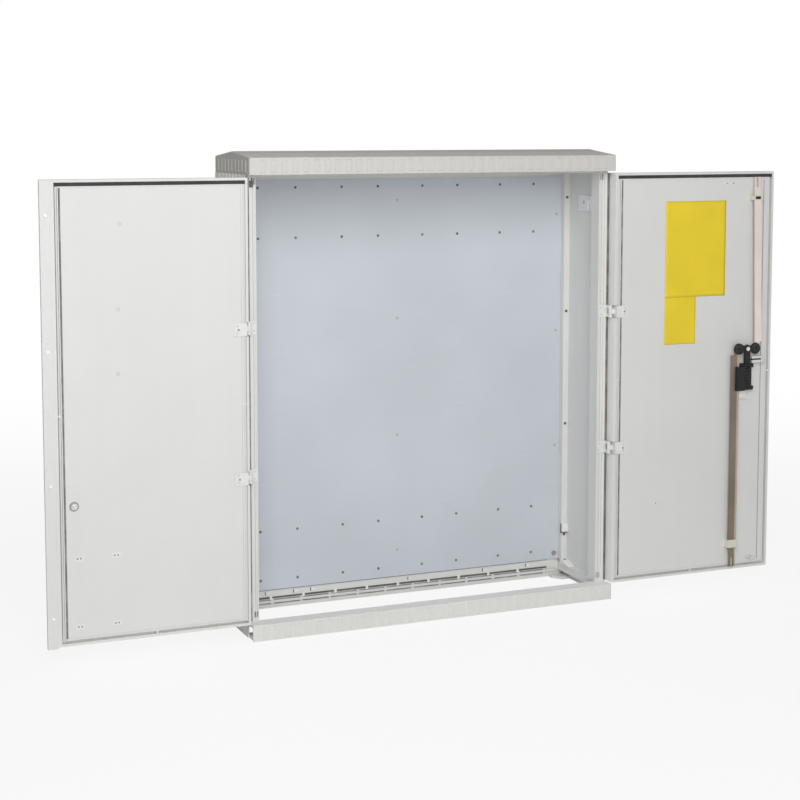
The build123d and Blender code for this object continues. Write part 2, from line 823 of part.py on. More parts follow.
# Hinges: a leaf on the door, a leaf on the jamb and a pin, at two levels a side
door_knuckle = knuckle_height - 2 * knuckle_gap
for side, sign in sides:
    for level_name, level in zip(("upper", "lower"), hinge_levels):
        low = level - hinge_height / 2
        web_near = hinge_x + 2 * edge_gap - 1.5
        with BuildPart() as door_leaf:
            with BuildSketch(Plane.XY.offset(low)):
                with Locations((sign * (web_near + leaf_reach / 2), open_inner - leaf_thick / 2)):
                    Rectangle(leaf_reach, leaf_thick)
                with Locations((sign * (web_near + leaf_thick / 2), (leaf_face + hinge_y + 3) / 2)):
                    Rectangle(leaf_thick, hinge_y + 3 - leaf_face)
            extrude(amount=hinge_height)
            with BuildSketch(Plane.XY.offset(level - door_knuckle / 2)):
                with Locations((sign * (hinge_x + web_near + leaf_thick) / 2, hinge_y)):
                    Rectangle(web_near + leaf_thick - hinge_x, 6)
                with Locations((sign * hinge_x, hinge_y)):
                    Circle(barrel_radius)
            extrude(amount=door_knuckle)
            with BuildSketch(Plane.XY.offset(low)):
                with Locations((sign * hinge_x, hinge_y)):
                    Circle(pin_radius + pin_clearance)
            extrude(amount=hinge_height, mode=Mode.SUBTRACT)
            with BuildSketch(plane_y(leaf_face)):
                with Locations((sign * (web_near + leaf_reach - 10), level)):
                    with GridLocations(0, hinge_screw_pitch, 1, 2):
                        Circle(hinge_screw)
            extrude(amount=-leaf_thick, mode=Mode.SUBTRACT)
            outer_edge = door_leaf.edges().filter_by(Axis.Y).group_by(Axis.X)
            fillet(outer_edge[0 if sign < 0 else -1], 4.0)
        save(door_leaf, f"hinge_{side}_{level_name}_door_leaf")

        with BuildPart() as frame_leaf:
            plate_y = -jamb_front
            plate_out = hinge_x + neck_width / 2
            plate_in = hinge_x - frame_leaf_back
            with BuildSketch(Plane.XY.offset(low)):
                with Locations((sign * (plate_out + plate_in) / 2, plate_y - leaf_thick / 2)):
                    Rectangle(plate_out - plate_in, leaf_thick)
            extrude(amount=hinge_height)
            ear = (hinge_height - knuckle_height) / 2
            for ear_low in (low, low + hinge_height - ear):
                with BuildSketch(Plane.XY.offset(ear_low)):
                    with Locations((sign * hinge_x, (hinge_y + plate_y) / 2)):
                        Rectangle(neck_width, plate_y - hinge_y)
                    with Locations((sign * hinge_x, hinge_y)):
                        Circle(barrel_radius)
                        Circle(pin_radius, mode=Mode.SUBTRACT)
                extrude(amount=ear)
            with BuildSketch(plane_y(plate_y - leaf_thick)):
                with Locations((sign * (plate_in + 7), level)):
                    with GridLocations(0, hinge_screw_pitch, 1, 2):
                        Circle(hinge_screw)
            extrude(amount=-leaf_thick, mode=Mode.SUBTRACT)
        save(frame_leaf, f"hinge_{side}_{level_name}_frame_leaf")

        with BuildPart() as pin:
            with BuildSketch(Plane.XY.offset(low)):
                with Locations((sign * hinge_x, hinge_y)):
                    Circle(pin_radius)
            extrude(amount=hinge_height)
            with BuildSketch(Plane.XY.offset(low + hinge_height)):
                with Locations((sign * hinge_x, hinge_y)):
                    Circle(pin_radius + 1.2)
            extrude(amount=pin_over)
            fillet(pin.faces().sort_by(Axis.Z)[-1].edges(), 0.8)
        save(pin, f"hinge_{side}_{level_name}_pin")

# Lock cam: two round lobes that drive the rods and a tail that points down
with BuildPart() as lock_cam:
    with BuildSketch(plane_y(cam_back)):
        with Locations((spindle_x, spindle_z)):
            Rectangle(2 * cam_reach, 16)
            Circle(12)
        with Locations((spindle_x - cam_reach, spindle_z), (spindle_x + cam_reach, spindle_z)):
            Circle(lobe_radius)
        with Locations((spindle_x, spindle_z - cam_tail / 2)):
            Rectangle(tail_width, cam_tail)
        with Locations((spindle_x, spindle_z)):
            Rectangle(8, 8, mode=Mode.SUBTRACT)
    extrude(amount=cam_thick)
    fillet(lock_cam.faces().sort_by(Axis.Y)[0].edges().filter_by(GeomType.CIRCLE), 1.0)
save(lock_cam, "lock_cam")

# Spindle: a square end in the cam, a round shaft in the door, the hub outside
hub_back = hub_face + lever_floor + lever_thick + lever_crown
with BuildPart() as lock_spindle:
    with BuildSketch(plane_y(hub_face)):
        with Locations((spindle_x, spindle_z)):
            Circle(spindle_radius)
    extrude(amount=hub_face - cam_back)
    with BuildSketch(plane_y(cam_back)):
        with Locations((spindle_x, spindle_z)):
            Rectangle(7.9, 7.9)
    extrude(amount=cam_thick)
    with BuildSketch(plane_y(cam_front)):
        with Locations((spindle_x, spindle_z)):
            Circle(2.5)
    extrude(amount=-14, mode=Mode.SUBTRACT)
    with BuildSketch(plane_y(hub_face)):
        with Locations((spindle_x, spindle_z)):
            Circle(hub_radius)
    extrude(amount=-(hub_back - hub_face))
    fillet(lock_spindle.faces().sort_by(Axis.Y)[-1].edges(), 1.5)
    with BuildSketch(Plane.XY.offset(spindle_z - hub_slot / 2)):
        slot_mid = hub_face + lever_floor - slide_gap + hub_radius
        with Locations((spindle_x - hub_radius / 2 + 1, slot_mid)):
            Rectangle(hub_radius + 4, 2 * hub_radius)
    extrude(amount=hub_slot, mode=Mode.SUBTRACT)
    with BuildSketch(Plane.XY.offset(spindle_z - hub_radius)):
        with Locations((lever_pin_x, lever_mid_y)):
            Circle(lever_pin_radius)
    extrude(amount=2 * hub_radius, mode=Mode.SUBTRACT)
save(lock_spindle, "lock_spindle")

# Screw on the end of the spindle
with BuildPart() as cam_screw:
    with BuildSketch(plane_y(cam_front)):
        with Locations((spindle_x, spindle_z)):
            Circle(6.5)
    extrude(amount=3.2)
    with BuildSketch(plane_y(cam_front - 3.2)):
        with Locations((spindle_x, spindle_z)):
            RegularPolygon(3, 6)
    extrude(amount=-2, mode=Mode.SUBTRACT)
    with BuildSketch(plane_y(cam_front)):
        with Locations((spindle_x, spindle_z)):
            Circle(2.5)
    extrude(amount=-12)
save(cam_screw, "cam_screw")

# Lever of the swing handle, lying to the hinge side while the lock is open
with BuildPart() as handle_lever:
    with BuildSketch(plane_y(hub_face)):
        grip = lever_length - hub_radius - 4
        with Locations((spindle_x - hub_radius - 2 - grip / 2, spindle_z)):
            RectangleRounded(grip, lever_width, 9)
    extrude(amount=-(lever_floor + lever_thick + lever_crown))
    fillet(handle_lever.faces().sort_by(Axis.Y)[-1].edges(), 3.0)
    with BuildSketch(plane_y(lever_mid_y - lever_thick / 2)):
        tongue = hub_radius + 8
        with Locations((lever_pin_x - tongue / 2, spindle_z)):
            Rectangle(tongue, hub_slot - 2 * slide_gap)
    extrude(amount=-lever_thick)
    with BuildSketch(Plane.XY.offset(spindle_z - hub_slot / 2 + slide_gap)):
        with Locations((lever_pin_x, lever_mid_y)):
            Circle(lever_thick / 2)
    extrude(amount=hub_slot - 2 * slide_gap)
    with BuildSketch(Plane.XY.offset(spindle_z - hub_slot / 2)):
        with Locations((lever_pin_x, lever_mid_y)):
            Circle(lever_pin_radius + pin_clearance)
    extrude(amount=hub_slot, mode=Mode.SUBTRACT)
save(handle_lever, "handle_lever")

# Pin that carries the lever in the hub
with BuildPart() as lever_pin:
    with BuildSketch(Plane.XY.offset(spindle_z - hub_radius + 2)):
        with Locations((lever_pin_x, lever_mid_y)):
            Circle(lever_pin_radius)
    extrude(amount=2 * hub_radius - 4)
save(lever_pin, "lever_pin")

# Handle plate outside, with the bearing of the spindle and the cylinder seat
plate_low = spindle_z + plate_over - plate_outer_height
cylinder_z = spindle_z - cylinder_drop
with BuildPart() as handle_plate:
    with BuildSketch(plane_y(open_outer)):
        with Locations((spindle_x, plate_low + plate_outer_height / 2)):
            RectangleRounded(plate_outer_width, plate_outer_height, 14)
    extrude(amount=-plate_outer_thick)
    fillet(handle_plate.faces().sort_by(Axis.Y)[-1].edges(), 2.5)
    with BuildSketch(plane_y(open_outer)):
        with Locations((spindle_x, spindle_z)):
            Circle(spindle_radius + pin_clearance)
        with Locations((spindle_x, cylinder_z)):
            Circle(cylinder_radius + pin_clearance)
    extrude(amount=-plate_outer_thick, mode=Mode.SUBTRACT)
save(handle_plate, "handle_plate")

# Lock cylinder with its key slot
with BuildPart() as lock_cylinder:
    with BuildSketch(plane_y(open_outer)):
        with Locations((spindle_x, cylinder_z)):
            Circle(cylinder_radius)
    extrude(amount=-(plate_outer_thick - 0.4))
    with BuildSketch(plane_y(open_outer + plate_outer_thick - 0.4)):
        with Locations((spindle_x, cylinder_z)):
            Rectangle(1.8, 8)
    extrude(amount=4, mode=Mode.SUBTRACT)
save(lock_cylinder, "lock_cylinder")

# Lock housing inside, under the cam, with a nose that bridges the lower rod
housing_x = spindle_x + 3
housing_face = panel_face - housing_depth
with BuildPart() as lock_housing:
    with BuildSketch(plane_y(panel_face)):
        with Locations((housing_x, housing_top - housing_height / 2)):
            RectangleRounded(housing_width, housing_height, 5)
    extrude(amount=housing_depth)
    fillet(lock_housing.faces().sort_by(Axis.Y)[0].edges(), 2.0)
    with BuildSketch(plane_y(panel_face)):
        with Locations((housing_x + housing_width / 2, housing_top - housing_height / 2)):
            Rectangle(2 * housing_notch, housing_height - 6 * housing_notch / 2)
    extrude(amount=housing_depth, mode=Mode.SUBTRACT)
    nose_left = spindle_x - bridge_left
    nose_right = spindle_x - bridge_right
    nose_back = rod_front - bridge_gap
    nose_front = panel_face - bridge_front
    block_left = housing_x - housing_width / 2
    with BuildSketch(Plane.XY.offset(housing_top - housing_height)):
        with BuildLine():
            Polyline(
                (block_left + 1, panel_face - 6),
                (nose_right, panel_face - 6),
                (nose_right, nose_front),
                (nose_left, nose_front),
                (nose_left, nose_back),
                (block_left + 1, nose_back),
                close=True,
            )
        make_face()
    extrude(amount=housing_height - bridge_drop)
    with BuildSketch(plane_y(housing_face)):
        with Locations((housing_x + 3, housing_top - housing_height / 2)):
            with GridLocations(0, housing_height - 24, 1, 2):
                Circle(3.5)
    extrude(amount=-3, mode=Mode.SUBTRACT)
save(lock_housing, "lock_housing")

# Bent bracket from the lock to the free edge of the door
bracket_x = spindle_x + 5 + bracket_length / 2
with BuildPart() as lock_bracket:
    with BuildSketch(Plane.XY.offset(housing_top + 1)):
        start = bracket_x - bracket_length / 2
        with BuildLine():
            Polyline(
                (start, panel_face),
                (start, panel_face - 2.5),
                (start + 14, panel_face - 2.5),
                (start + 18, panel_face - 12.5),
                (start + bracket_length, panel_face - 12.5),
                (start + bracket_length, panel_face - 10),
                (start + 20, panel_face - 10),
                (start + 16, panel_face),
                close=True,
            )
        make_face()
    extrude(amount=bracket_height)
save(lock_bracket, "lock_bracket")

# Upper rod: a flat bar that leans a little, with a forked tip
foot_x = spindle_x + upper_rod_foot_x
head_x = spindle_x + upper_rod_head_x
rod_run = upper_rod_neck_z - upper_rod_foot_z
lean = degrees(atan2(head_x - foot_x, rod_run))
tip_reach = (upper_rod_tip_z - upper_rod_foot_z) / cos(radians(lean))
neck_reach = rod_run / cos(radians(lean))
rod_plane = Plane(
    origin=(foot_x, rod_back, upper_rod_foot_z),
    x_dir=(cos(radians(lean)), 0, -sin(radians(lean))),
    z_dir=(0, -1, 0),
)
with BuildPart() as upper_rod:
    with BuildSketch(rod_plane):
        with Locations((0, neck_reach / 2)):
            Rectangle(rod_width, neck_reach)
        with Locations((0, (neck_reach + tip_reach) / 2)):
            Rectangle(tip_width, tip_reach - neck_reach + 1)
        with Locations((-4, -10)):
            Rectangle(tongue_width, 24)
        with Locations((0, tip_reach - fork_depth / 2)):
            Rectangle(fork_slot, fork_depth, mode=Mode.SUBTRACT)
    extrude(amount=rod_thick)
save(upper_rod, "upper_rod")

# Lower rod, upright
rod_x = spindle_x - lower_rod_x
with BuildPart() as lower_rod:
    with BuildSketch(plane_y(rod_back)):
        with Locations((rod_x, (lower_rod_top_z + lower_rod_neck_z) / 2)):
            Rectangle(rod_width, lower_rod_top_z - lower_rod_neck_z)
        with Locations((rod_x, (lower_rod_neck_z + lower_rod_tip_z) / 2)):
            Rectangle(tip_width, lower_rod_neck_z - lower_rod_tip_z + 1)
        with Locations((rod_x + 6, lower_rod_top_z + 10)):
            Rectangle(tongue_width, 24)
        with Locations((rod_x, lower_rod_tip_z + fork_depth / 2)):
            Rectangle(fork_slot, fork_depth, mode=Mode.SUBTRACT)
    extrude(amount=rod_thick)
save(lower_rod, "lower_rod")

# Guides: a block on the door with a slot that the rod slides through
guide_front = rod_front - slide_gap - 3
upper_guide_plane = Plane(
    origin=(foot_x, panel_face, upper_rod_foot_z),
    x_dir=(cos(radians(lean)), 0, -sin(radians(lean))),
    z_dir=(0, -1, 0),
)
with BuildPart() as upper_guide:
    with BuildSketch(upper_guide_plane):
        with Locations((0, neck_reach - upper_guide_drop)):
            Rectangle(rod_width + 2 * guide_wall, guide_height)
    extrude(amount=panel_face - guide_front)
    with BuildSketch(upper_guide_plane.offset(rod_standoff - slide_gap)):
        with Locations((0, neck_reach - upper_guide_drop)):
            Rectangle(rod_width + 2 * slide_gap, guide_height)
    extrude(amount=rod_thick + 2 * slide_gap, mode=Mode.SUBTRACT)
save(upper_guide, "upper_rod_guide")

with BuildPart() as lower_guide:
    with BuildSketch(plane_y(panel_face)):
        with Locations((rod_x, lower_rod_neck_z + lower_guide_rise)):
            Rectangle(rod_width + 2 * guide_wall, guide_height + lower_guide_extra)
    extrude(amount=panel_face - guide_front)
    with BuildSketch(plane_y(rod_back + slide_gap)):
        with Locations((rod_x, lower_rod_neck_z + lower_guide_rise)):
            Rectangle(rod_width + 2 * slide_gap, guide_height + lower_guide_extra)
    extrude(amount=rod_thick + 2 * slide_gap, mode=Mode.SUBTRACT)
save(lower_guide, "lower_rod_guide")

# Paper sheets on the inside of the right door
sheet_left = door_near + sheet_inset
for name, size, top in (
    ("label_sheet_large", sheet_large, sheet_top),
    ("label_sheet_small", sheet_small, sheet_top - sheet_large[1]),
):
    with BuildPart() as sheet:
        with BuildSketch(plane_y(panel_face)):
            with Locations((sheet_left + size[0] / 2, top - size[1] / 2)):
                Rectangle(*size)
        extrude(amount=sheet_thick)
    save(sheet, name)
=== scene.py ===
"""Looks of a two-door roadside utility cabinet: finishes, small fittings, stage and camera."""

import math

import bpy
import numpy as np
from bpy.props import FloatProperty, FloatVectorProperty, IntProperty, PointerProperty
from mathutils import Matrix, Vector


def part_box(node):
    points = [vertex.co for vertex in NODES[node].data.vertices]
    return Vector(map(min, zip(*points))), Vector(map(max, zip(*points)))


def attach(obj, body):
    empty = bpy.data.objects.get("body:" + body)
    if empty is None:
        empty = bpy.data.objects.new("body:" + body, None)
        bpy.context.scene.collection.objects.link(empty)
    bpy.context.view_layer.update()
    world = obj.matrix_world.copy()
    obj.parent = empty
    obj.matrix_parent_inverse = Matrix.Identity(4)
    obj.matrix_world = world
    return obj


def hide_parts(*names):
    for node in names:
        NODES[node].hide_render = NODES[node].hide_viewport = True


bl_info = {
    "name": "Roadside cabinet looks",
    "version": (1, 0, 0),
    "blender": (4, 5, 0),
    "location": "3D View > Sidebar > Cabinet",
    "description": "Dresses the packed cabinet with finishes, fittings and a plain stage",
    "category": "Object",
}

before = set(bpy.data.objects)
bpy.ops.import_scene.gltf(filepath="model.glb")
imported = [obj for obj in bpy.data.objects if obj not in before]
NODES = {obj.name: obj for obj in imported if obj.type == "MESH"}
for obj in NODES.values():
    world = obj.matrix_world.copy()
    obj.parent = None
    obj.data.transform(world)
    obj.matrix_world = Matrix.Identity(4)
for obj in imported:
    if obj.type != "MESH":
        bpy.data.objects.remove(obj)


def colour(name, description, default):
    """A colour property, in linear light."""
    return FloatVectorProperty(
        name=name, description=description, subtype="COLOR", size=3, min=0, max=1, default=default
    )


def length(name, description, default):
    """A length property, in metres."""
    return FloatProperty(name=name, description=description, default=default, unit="LENGTH", precision=4)


def factor(name, description, default, top=1.0):
    """A plain share or strength."""
    return FloatProperty(name=name, description=description, default=default, min=0, max=top)


class CabinetFinish(bpy.types.PropertyGroup):
    """Colours and gloss of the cabinet's materials."""

    shell: colour("Shell", "Moulded walls and doors", (0.80, 0.80, 0.782))
    shell_rough: factor("Shell roughness", "Roughness of the moulded walls", 0.55)
    roof: colour("Roof", "Moulded roof", (0.68, 0.67, 0.64))
    base: colour("Base", "Moulded plinth", (0.82, 0.815, 0.79))
    plate: colour("Plate", "Painted mounting plate", (0.655, 0.695, 0.745))
    gasket: colour("Gasket", "Gaskets and pads", (0.20, 0.20, 0.19))
    plug: colour("Plug", "Painted shade in the holes of the mounting plate", (0.15, 0.16, 0.18))
    blank: colour("Blank plate", "Bright blank plate on the right wall", (0.92, 0.915, 0.94))
    bolt: colour("Post screws", "Dark screws of the rear posts", (0.20, 0.18, 0.15))
    rubber: colour("Rubber", "Top seals and lips of the doors", (0.035, 0.035, 0.036))
    grey_rubber: colour("Grey rubber", "Side seals of the frame", (0.16, 0.16, 0.155))
    zinc: colour("Zinc", "Screws of the closing strip and the bracket of the lock", (0.72, 0.71, 0.69))
    upper: colour("Upper rod", "Bright upper rod", (0.93, 0.80, 0.75))
    lower: colour("Lower rod", "Yellow-brown lower rod", (0.50, 0.41, 0.31))
    cream: colour("Cream", "Guides of the rods", (0.76, 0.74, 0.62))
    steel: colour("Steel", "Bright pins, studs and bolts", (0.66, 0.66, 0.66))
    plastic: colour("Plastic", "Lock housing, cam and handle", (0.012, 0.011, 0.011))
    hinge: colour("Hinges", "Hinge leaves and pins", (0.84, 0.85, 0.83))
    paper: colour("Paper", "Sheets on the right door", (0.93, 0.71, 0.03))


class CabinetPieces(bpy.types.PropertyGroup):
    """Sizes of the small fittings."""

    gasket_width: length("Gasket width", "Width of the gaskets beside the door panels", 0.005)
    gasket_proud: length("Gasket proud", "Height of a gasket above the door", 0.0006)
    top_lip: length("Top lip", "Height of the dark lip along the top seals", 0.0095)
    liner_width: length("Liner width", "Width of the liners in the grooves beside the hinges", 0.0068)
    bead_inset: length("Bead inset", "From the right panel's free edge to its bead", 0.0142)
    trim_reach: length("Trim reach", "How far the side trims reach outward", 0.0055)
    strip_level: length("Strip level", "Height of the dark strip on the rear rail", 0.0305)
    strip_half: length("Strip half height", "Half the height of the dark strip", 0.0026)
    clip_width: length("Clip width", "Width of a clip on the rear rail", 0.008)
    clip_pitch: length("Clip pitch", "Distance between two clips on the rear rail", 0.1)
    clip_shift: length("Clip shift", "How far the clips stand to the left of the middle", 0.005)
    shoe_width: length("Shoe width", "Width of a corner shoe", 0.023)
    hinge_seat: length("Hinge seat", "From the middle plane to a hinge's screw seat", 0.5888)
    cap_radius: length("Cap radius", "Radius of a screw in the closing strip", 0.0043)
    sheet_left: length("Sheet left", "Left edge of the sheets", 0.7268)
    sheet_wide: length("Wide sheet", "Width of the upper sheet", 0.2088)
    sheet_narrow: length("Narrow sheet", "Width of the lower sheet", 0.1072)
    sheet_top: length("Sheet top", "Top of the upper sheet", 1.1735)
    sheet_step: length("Sheet step", "Where the two sheets meet", 0.8885)
    sheet_foot: length("Sheet foot", "Foot of the lower sheet", 0.7485)
    disc_radius: length("Disc radius", "Radius of the two discs of the cam", 0.015)
    rib_count: IntProperty(name="Rib count", description="Ribs on the lock housing", default=6, min=2)


class CabinetStage(bpy.types.PropertyGroup):
    """Camera and light."""

    lens: FloatProperty(name="Lens", description="Focal length", default=77.025, min=1, unit="CAMERA")
    shift: FloatProperty(name="Shift", description="Vertical lens shift", default=-0.13)
    floor: colour("Floor", "Floor and backdrop", (0.86, 0.86, 0.86))
    key_power: factor("Key power", "Power of the near soft lamp in watts", 60, 5000)
    fill_power: factor("Fill power", "Power of the far soft lamp in watts", 95, 5000)
    back_power: factor("Back power", "Power of the soft lamp behind in watts", 105, 5000)
    sky: factor("Sky", "Strength of the even light from all round", 0.25, 10)


class Socket:
    """One value in a material. Arithmetic on it adds Math nodes, with a number on either side."""

    def __init__(self, tree, out):
        self.tree = tree
        self.out = out

    def add(self, kind, settings, inputs, output=0):
        """Adds any node: its settings first, then its sockets by name or place."""
        made = self.tree.nodes.new(kind)
        for key, value in settings.items():
            setattr(made, key, value)
        for key, value in inputs.items():
            if isinstance(value, Socket):
                self.tree.links.new(value.out, made.inputs[key])
            else:
                made.inputs[key].default_value = value
        return Socket(self.tree, made.outputs[output])

    def math(self, operation, first, second=0.0):
        return self.add("ShaderNodeMath", {"operation": operation}, {0: first, 1: second})

    def __add__(self, other):
        return self.math("ADD", self, other)

    def __radd__(self, other):
        return self.math("ADD", other, self)

    def __sub__(self, other):
        return self.math("SUBTRACT", self, other)

    def __rsub__(self, other):
        return self.math("SUBTRACT", other, self)

    def __mul__(self, other):
        return self.math("MULTIPLY", self, other)

    def __rmul__(self, other):
        return self.math("MULTIPLY", other, self)

    def __abs__(self):
        return self.math("ABSOLUTE", self)

    def band(self, low, high):
        """0 below low, 1 above high, smooth between."""
        return self.add(
            "ShaderNodeMapRange",
            {"interpolation_type": "SMOOTHSTEP"},
            {"Value": self, "From Min": low, "From Max": high},
        )

    def noise(self, scale, detail=3.0, rough=0.5):
        """Noise value over this vector."""
        return self.add(
            "ShaderNodeTexNoise", {}, {"Vector": self, "Scale": scale, "Detail": detail, "Roughness": rough}
        )

    def stretched(self, x, y, z):
        """This vector with its axes scaled."""
        return self.add("ShaderNodeMapping", {}, {"Vector": self, "Scale": (x, y, z)})

    def mix(self, first, second):
        """Colour first at 0, second at 1."""
        return self.add("ShaderNodeMix", {"data_type": "RGBA"}, {0: self, 6: first, 7: second}, 2)


def tone(rgb, scale=1.0):
    """A colour with an alpha, made lighter or darker."""
    return tuple(min(1.0, c * scale) for c in rgb[:3]) + (1.0,)


def begin(name):
    """A new material, its surface shader and its object coordinates."""
    made = bpy.data.materials.new(name)
    made.use_nodes = True
    tree = made.node_tree
    shader = tree.nodes["Principled BSDF"]
    place = tree.nodes.new("ShaderNodeTexCoord")
    return made, shader, Socket(tree, place.outputs["Object"])


def finish_surface(made, shader, base, rough, height, depth, metallic=0.0):
    """Joins colour and roughness to the shader, and a height as a bump of the depth given."""
    tree = made.node_tree
    tree.links.new(base.out, shader.inputs["Base Color"])
    tree.links.new(rough.out, shader.inputs["Roughness"])
    shader.inputs["Metallic"].default_value = metallic
    bump = height.add("ShaderNodeBump", {}, {"Strength": 1.0, "Distance": depth, "Height": height})
    tree.links.new(bump.out, shader.inputs["Normal"])
    return made


def axes(at):
    """The three coordinates of a vector as values."""
    split = at.add("ShaderNodeSeparateXYZ", {}, {0: at})
    return [Socket(at.tree, out) for out in split.out.node.outputs]


def shaded(value, rgb, dark=0.965, bright=1.015):
    """A colour between a darker and a brighter tone, by a value that varies around one half."""
    return value.band(0.3, 0.7).mix(tone(rgb, dark), tone(rgb, bright))


def grained(at):
    """What the pale mouldings share: soft clouds and fine specks."""
    return at.noise(3.1, 4.0, 0.55), at.noise(620.0, 2.0, 0.6)


def orange_peel(at):
    """Height of a moulded face: low bumps with finer ones on them."""
    return at.noise(260.0, 2.0, 0.5) + 0.35 * at.noise(900.0, 1.0)


PEEL_DEPTH = 0.00007  # bump of a moulded face
DRAWN_DEPTH = 0.00003  # bump of drawn and plated steel
ROOF_END = (0.5535, 0.5555)  # from the roof's front to its end faces, as distances from the middle plane
JAMB_GROOVES = (0.5332, 0.5280)  # the outer and the inner groove, as distances from the middle plane


def moulded(name, rgb, rough, ledge=None):
    """Pale moulded plastic: soft clouds, faint upright streaks and a fine orange peel. Above the height of a
    ledge it is painted brighter: a painted highlight on the ledge's top."""
    made, shader, at = begin(name)
    cloud, speck = grained(at)
    streak = at.stretched(38.0, 38.0, 1.6).noise(1.0, 2.0)
    base = shaded(0.64 * cloud + 0.14 * streak + 0.22 * speck, rgb)
    if ledge is not None:
        # Painted highlight: the top of the ledge is made brighter.
        base = axes(at)[2].band(ledge - 0.0008, ledge - 0.0002).mix(base, tone(rgb, 1.17))
    gloss = rough - 0.06 + 0.14 * cloud + 0.05 * speck
    return finish_surface(made, shader, base, gloss, orange_peel(at), PEEL_DEPTH)


def weathered(name, rgb, rough):
    """The roof's moulding with painted shade: greyer on its ends and, from the eaves up, on its top, in soft
    patches.
    """
    made, shader, at = begin(name)
    cloud, speck = grained(at)
    patchiness = at.noise(14.0, 4.0, 0.65)
    across, _, up = axes(at)
    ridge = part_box("roof")[1].z
    end = abs(across).band(*ROOF_END)
    top = up.band(ridge - 0.007, ridge - 0.004)
    # Painted shade: the ends are fully grey, the top is grey in patches.
    grey = 0.8 * end + (1.0 - end) * top * (0.35 + 0.3 * patchiness)
    base = grey.mix(shaded(0.75 * cloud + 0.25 * speck, rgb), tone(rgb, 0.72))
    gloss = rough - 0.06 + 0.14 * cloud + 0.08 * patchiness
    return finish_surface(made, shader, base, gloss, orange_peel(at), PEEL_DEPTH)


def painted(name, rgb):
    """Powder-coated sheet: even colour with soft clouds, fine handling scuffs and a fine grain."""
    made, shader, at = begin(name)
    cloud = at.noise(2.3, 3.0, 0.5)
    scuff = at.stretched(9.0, 9.0, 140.0).noise(1.0, 3.0, 0.7).band(0.60, 0.74)
    grain = at.noise(1100.0, 2.0, 0.6)
    base = shaded(0.8 * cloud + 0.2 * grain, rgb, 0.95, 1.05)
    worn = (0.12 * scuff).mix(base, tone(rgb, 1.35))
    gloss = 0.40 + 0.10 * cloud + 0.12 * scuff
    return finish_surface(made, shader, worn, gloss, grain - 0.2 * scuff, depth=0.00004)


def rubbery(name, rgb):
    """Matt rubber: a bloom in patches and a fine tooth."""
    made, shader, at = begin(name)
    bloom = at.noise(24.0, 4.0, 0.6)
    tooth = at.noise(1500.0, 2.0, 0.6)
    base = bloom.band(0.35, 0.75).mix(tone(rgb, 0.8), tone(rgb, 1.7))
    return finish_surface(made, shader, base, 0.62 + 0.2 * bloom, tooth, depth=0.00006)


def plated(name, rgb, rough, metallic=1.0):
    """Plated steel: cloudy passivation colour, a fine drawn grain and small dull spots."""
    made, shader, at = begin(name)
    cloud = at.noise(31.0, 4.0, 0.6)
    drawn = at.stretched(900.0, 900.0, 900.0).noise(1.0, 2.0, 0.6)
    spot = at.noise(210.0, 2.0, 0.5).band(0.62, 0.75)
    base = shaded(0.6 * cloud + 0.4 * drawn, rgb, 0.82, 1.12)
    dull = (0.35 * spot).mix(base, tone(rgb, 0.6))
    gloss = rough + 0.16 * cloud + 0.12 * spot
    return finish_surface(made, shader, dull, gloss, drawn - 0.3 * spot, DRAWN_DEPTH, metallic)


def edged_rod(name, rgb, lean, edge, dark):
    """Plated flat rod with painted light: painted shade on the left of its edge, which leans with height, and
    painted reflections in slow bands along it.
    """
    made, shader, at = begin(name)
    across, _, up = axes(at)
    # Painted shade on the left of the edge, lit colour on its right; the slow bands are painted reflections.
    right = (across + lean * up).band(*edge)
    slow_reflection = at.stretched(0.0, 0.0, 5.0).noise(1.0, 2.0)
    drawn = at.stretched(900.0, 900.0, 25.0).noise(1.0, 2.0, 0.6)
    reflection_bands = 0.7 * slow_reflection + 0.3 * drawn
    lit = shaded(reflection_bands, rgb, 0.86, 1.1)
    dim = shaded(reflection_bands, rgb, dark * 0.85, dark * 1.3)
    gloss = 0.32 + 0.12 * slow_reflection
    return finish_surface(made, shader, right.mix(dim, lit), gloss, drawn, DRAWN_DEPTH, metallic=0.35)


def ribbed_jamb(name, rgb, rough):
    """Moulded jamb: the finish of the walls with two fine upright grooves in its front, darkened with painted
    shade.
    """
    made, shader, at = begin(name)
    cloud, speck = grained(at)
    reach = abs(axes(at)[0])
    outer = abs(reach - JAMB_GROOVES[0]).band(0.0006, 0.0015)
    inner = abs(reach - JAMB_GROOVES[1]).band(0.0004, 0.0011)
    flat = outer * (0.4 + 0.6 * inner)
    # Painted shade: the grooves are darker than the flat front.
    base = flat.mix(tone(rgb, 0.74), shaded(0.75 * cloud + 0.25 * speck, rgb))
    gloss = rough - 0.06 + 0.14 * cloud + 0.05 * speck
    return finish_surface(made, shader, base, gloss, flat + 0.06 * speck, depth=0.0003)


def black(name, rgb, rough):
    """Moulded black plastic: spark-eroded grain with slightly polished patches."""
    made, shader, at = begin(name)
    grain = at.noise(1300.0, 3.0, 0.6)
    patch = at.noise(45.0, 3.0, 0.5)
    gloss = rough + 0.16 * patch + 0.05 * grain
    shader.inputs["Specular IOR Level"].default_value = 0.3
    return finish_surface(made, shader, shaded(patch, rgb, 0.75, 1.6), gloss, grain, depth=0.00005)


def papery(name, rgb):
    """Plastic-coated yellow sheet: fibres, slight fading in patches and shallow waves."""
    made, shader, at = begin(name)
    fibre = at.stretched(1.0, 1.0, 2.5).noise(420.0, 4.0, 0.7)
    wave = at.noise(9.0, 2.0, 0.4)
    base = shaded(0.5 * fibre + 0.5 * wave, rgb, 0.93, 1.05)
    return finish_surface(made, shader, base, 0.42 + 0.15 * wave, 0.1 * fibre + wave, depth=0.0006)


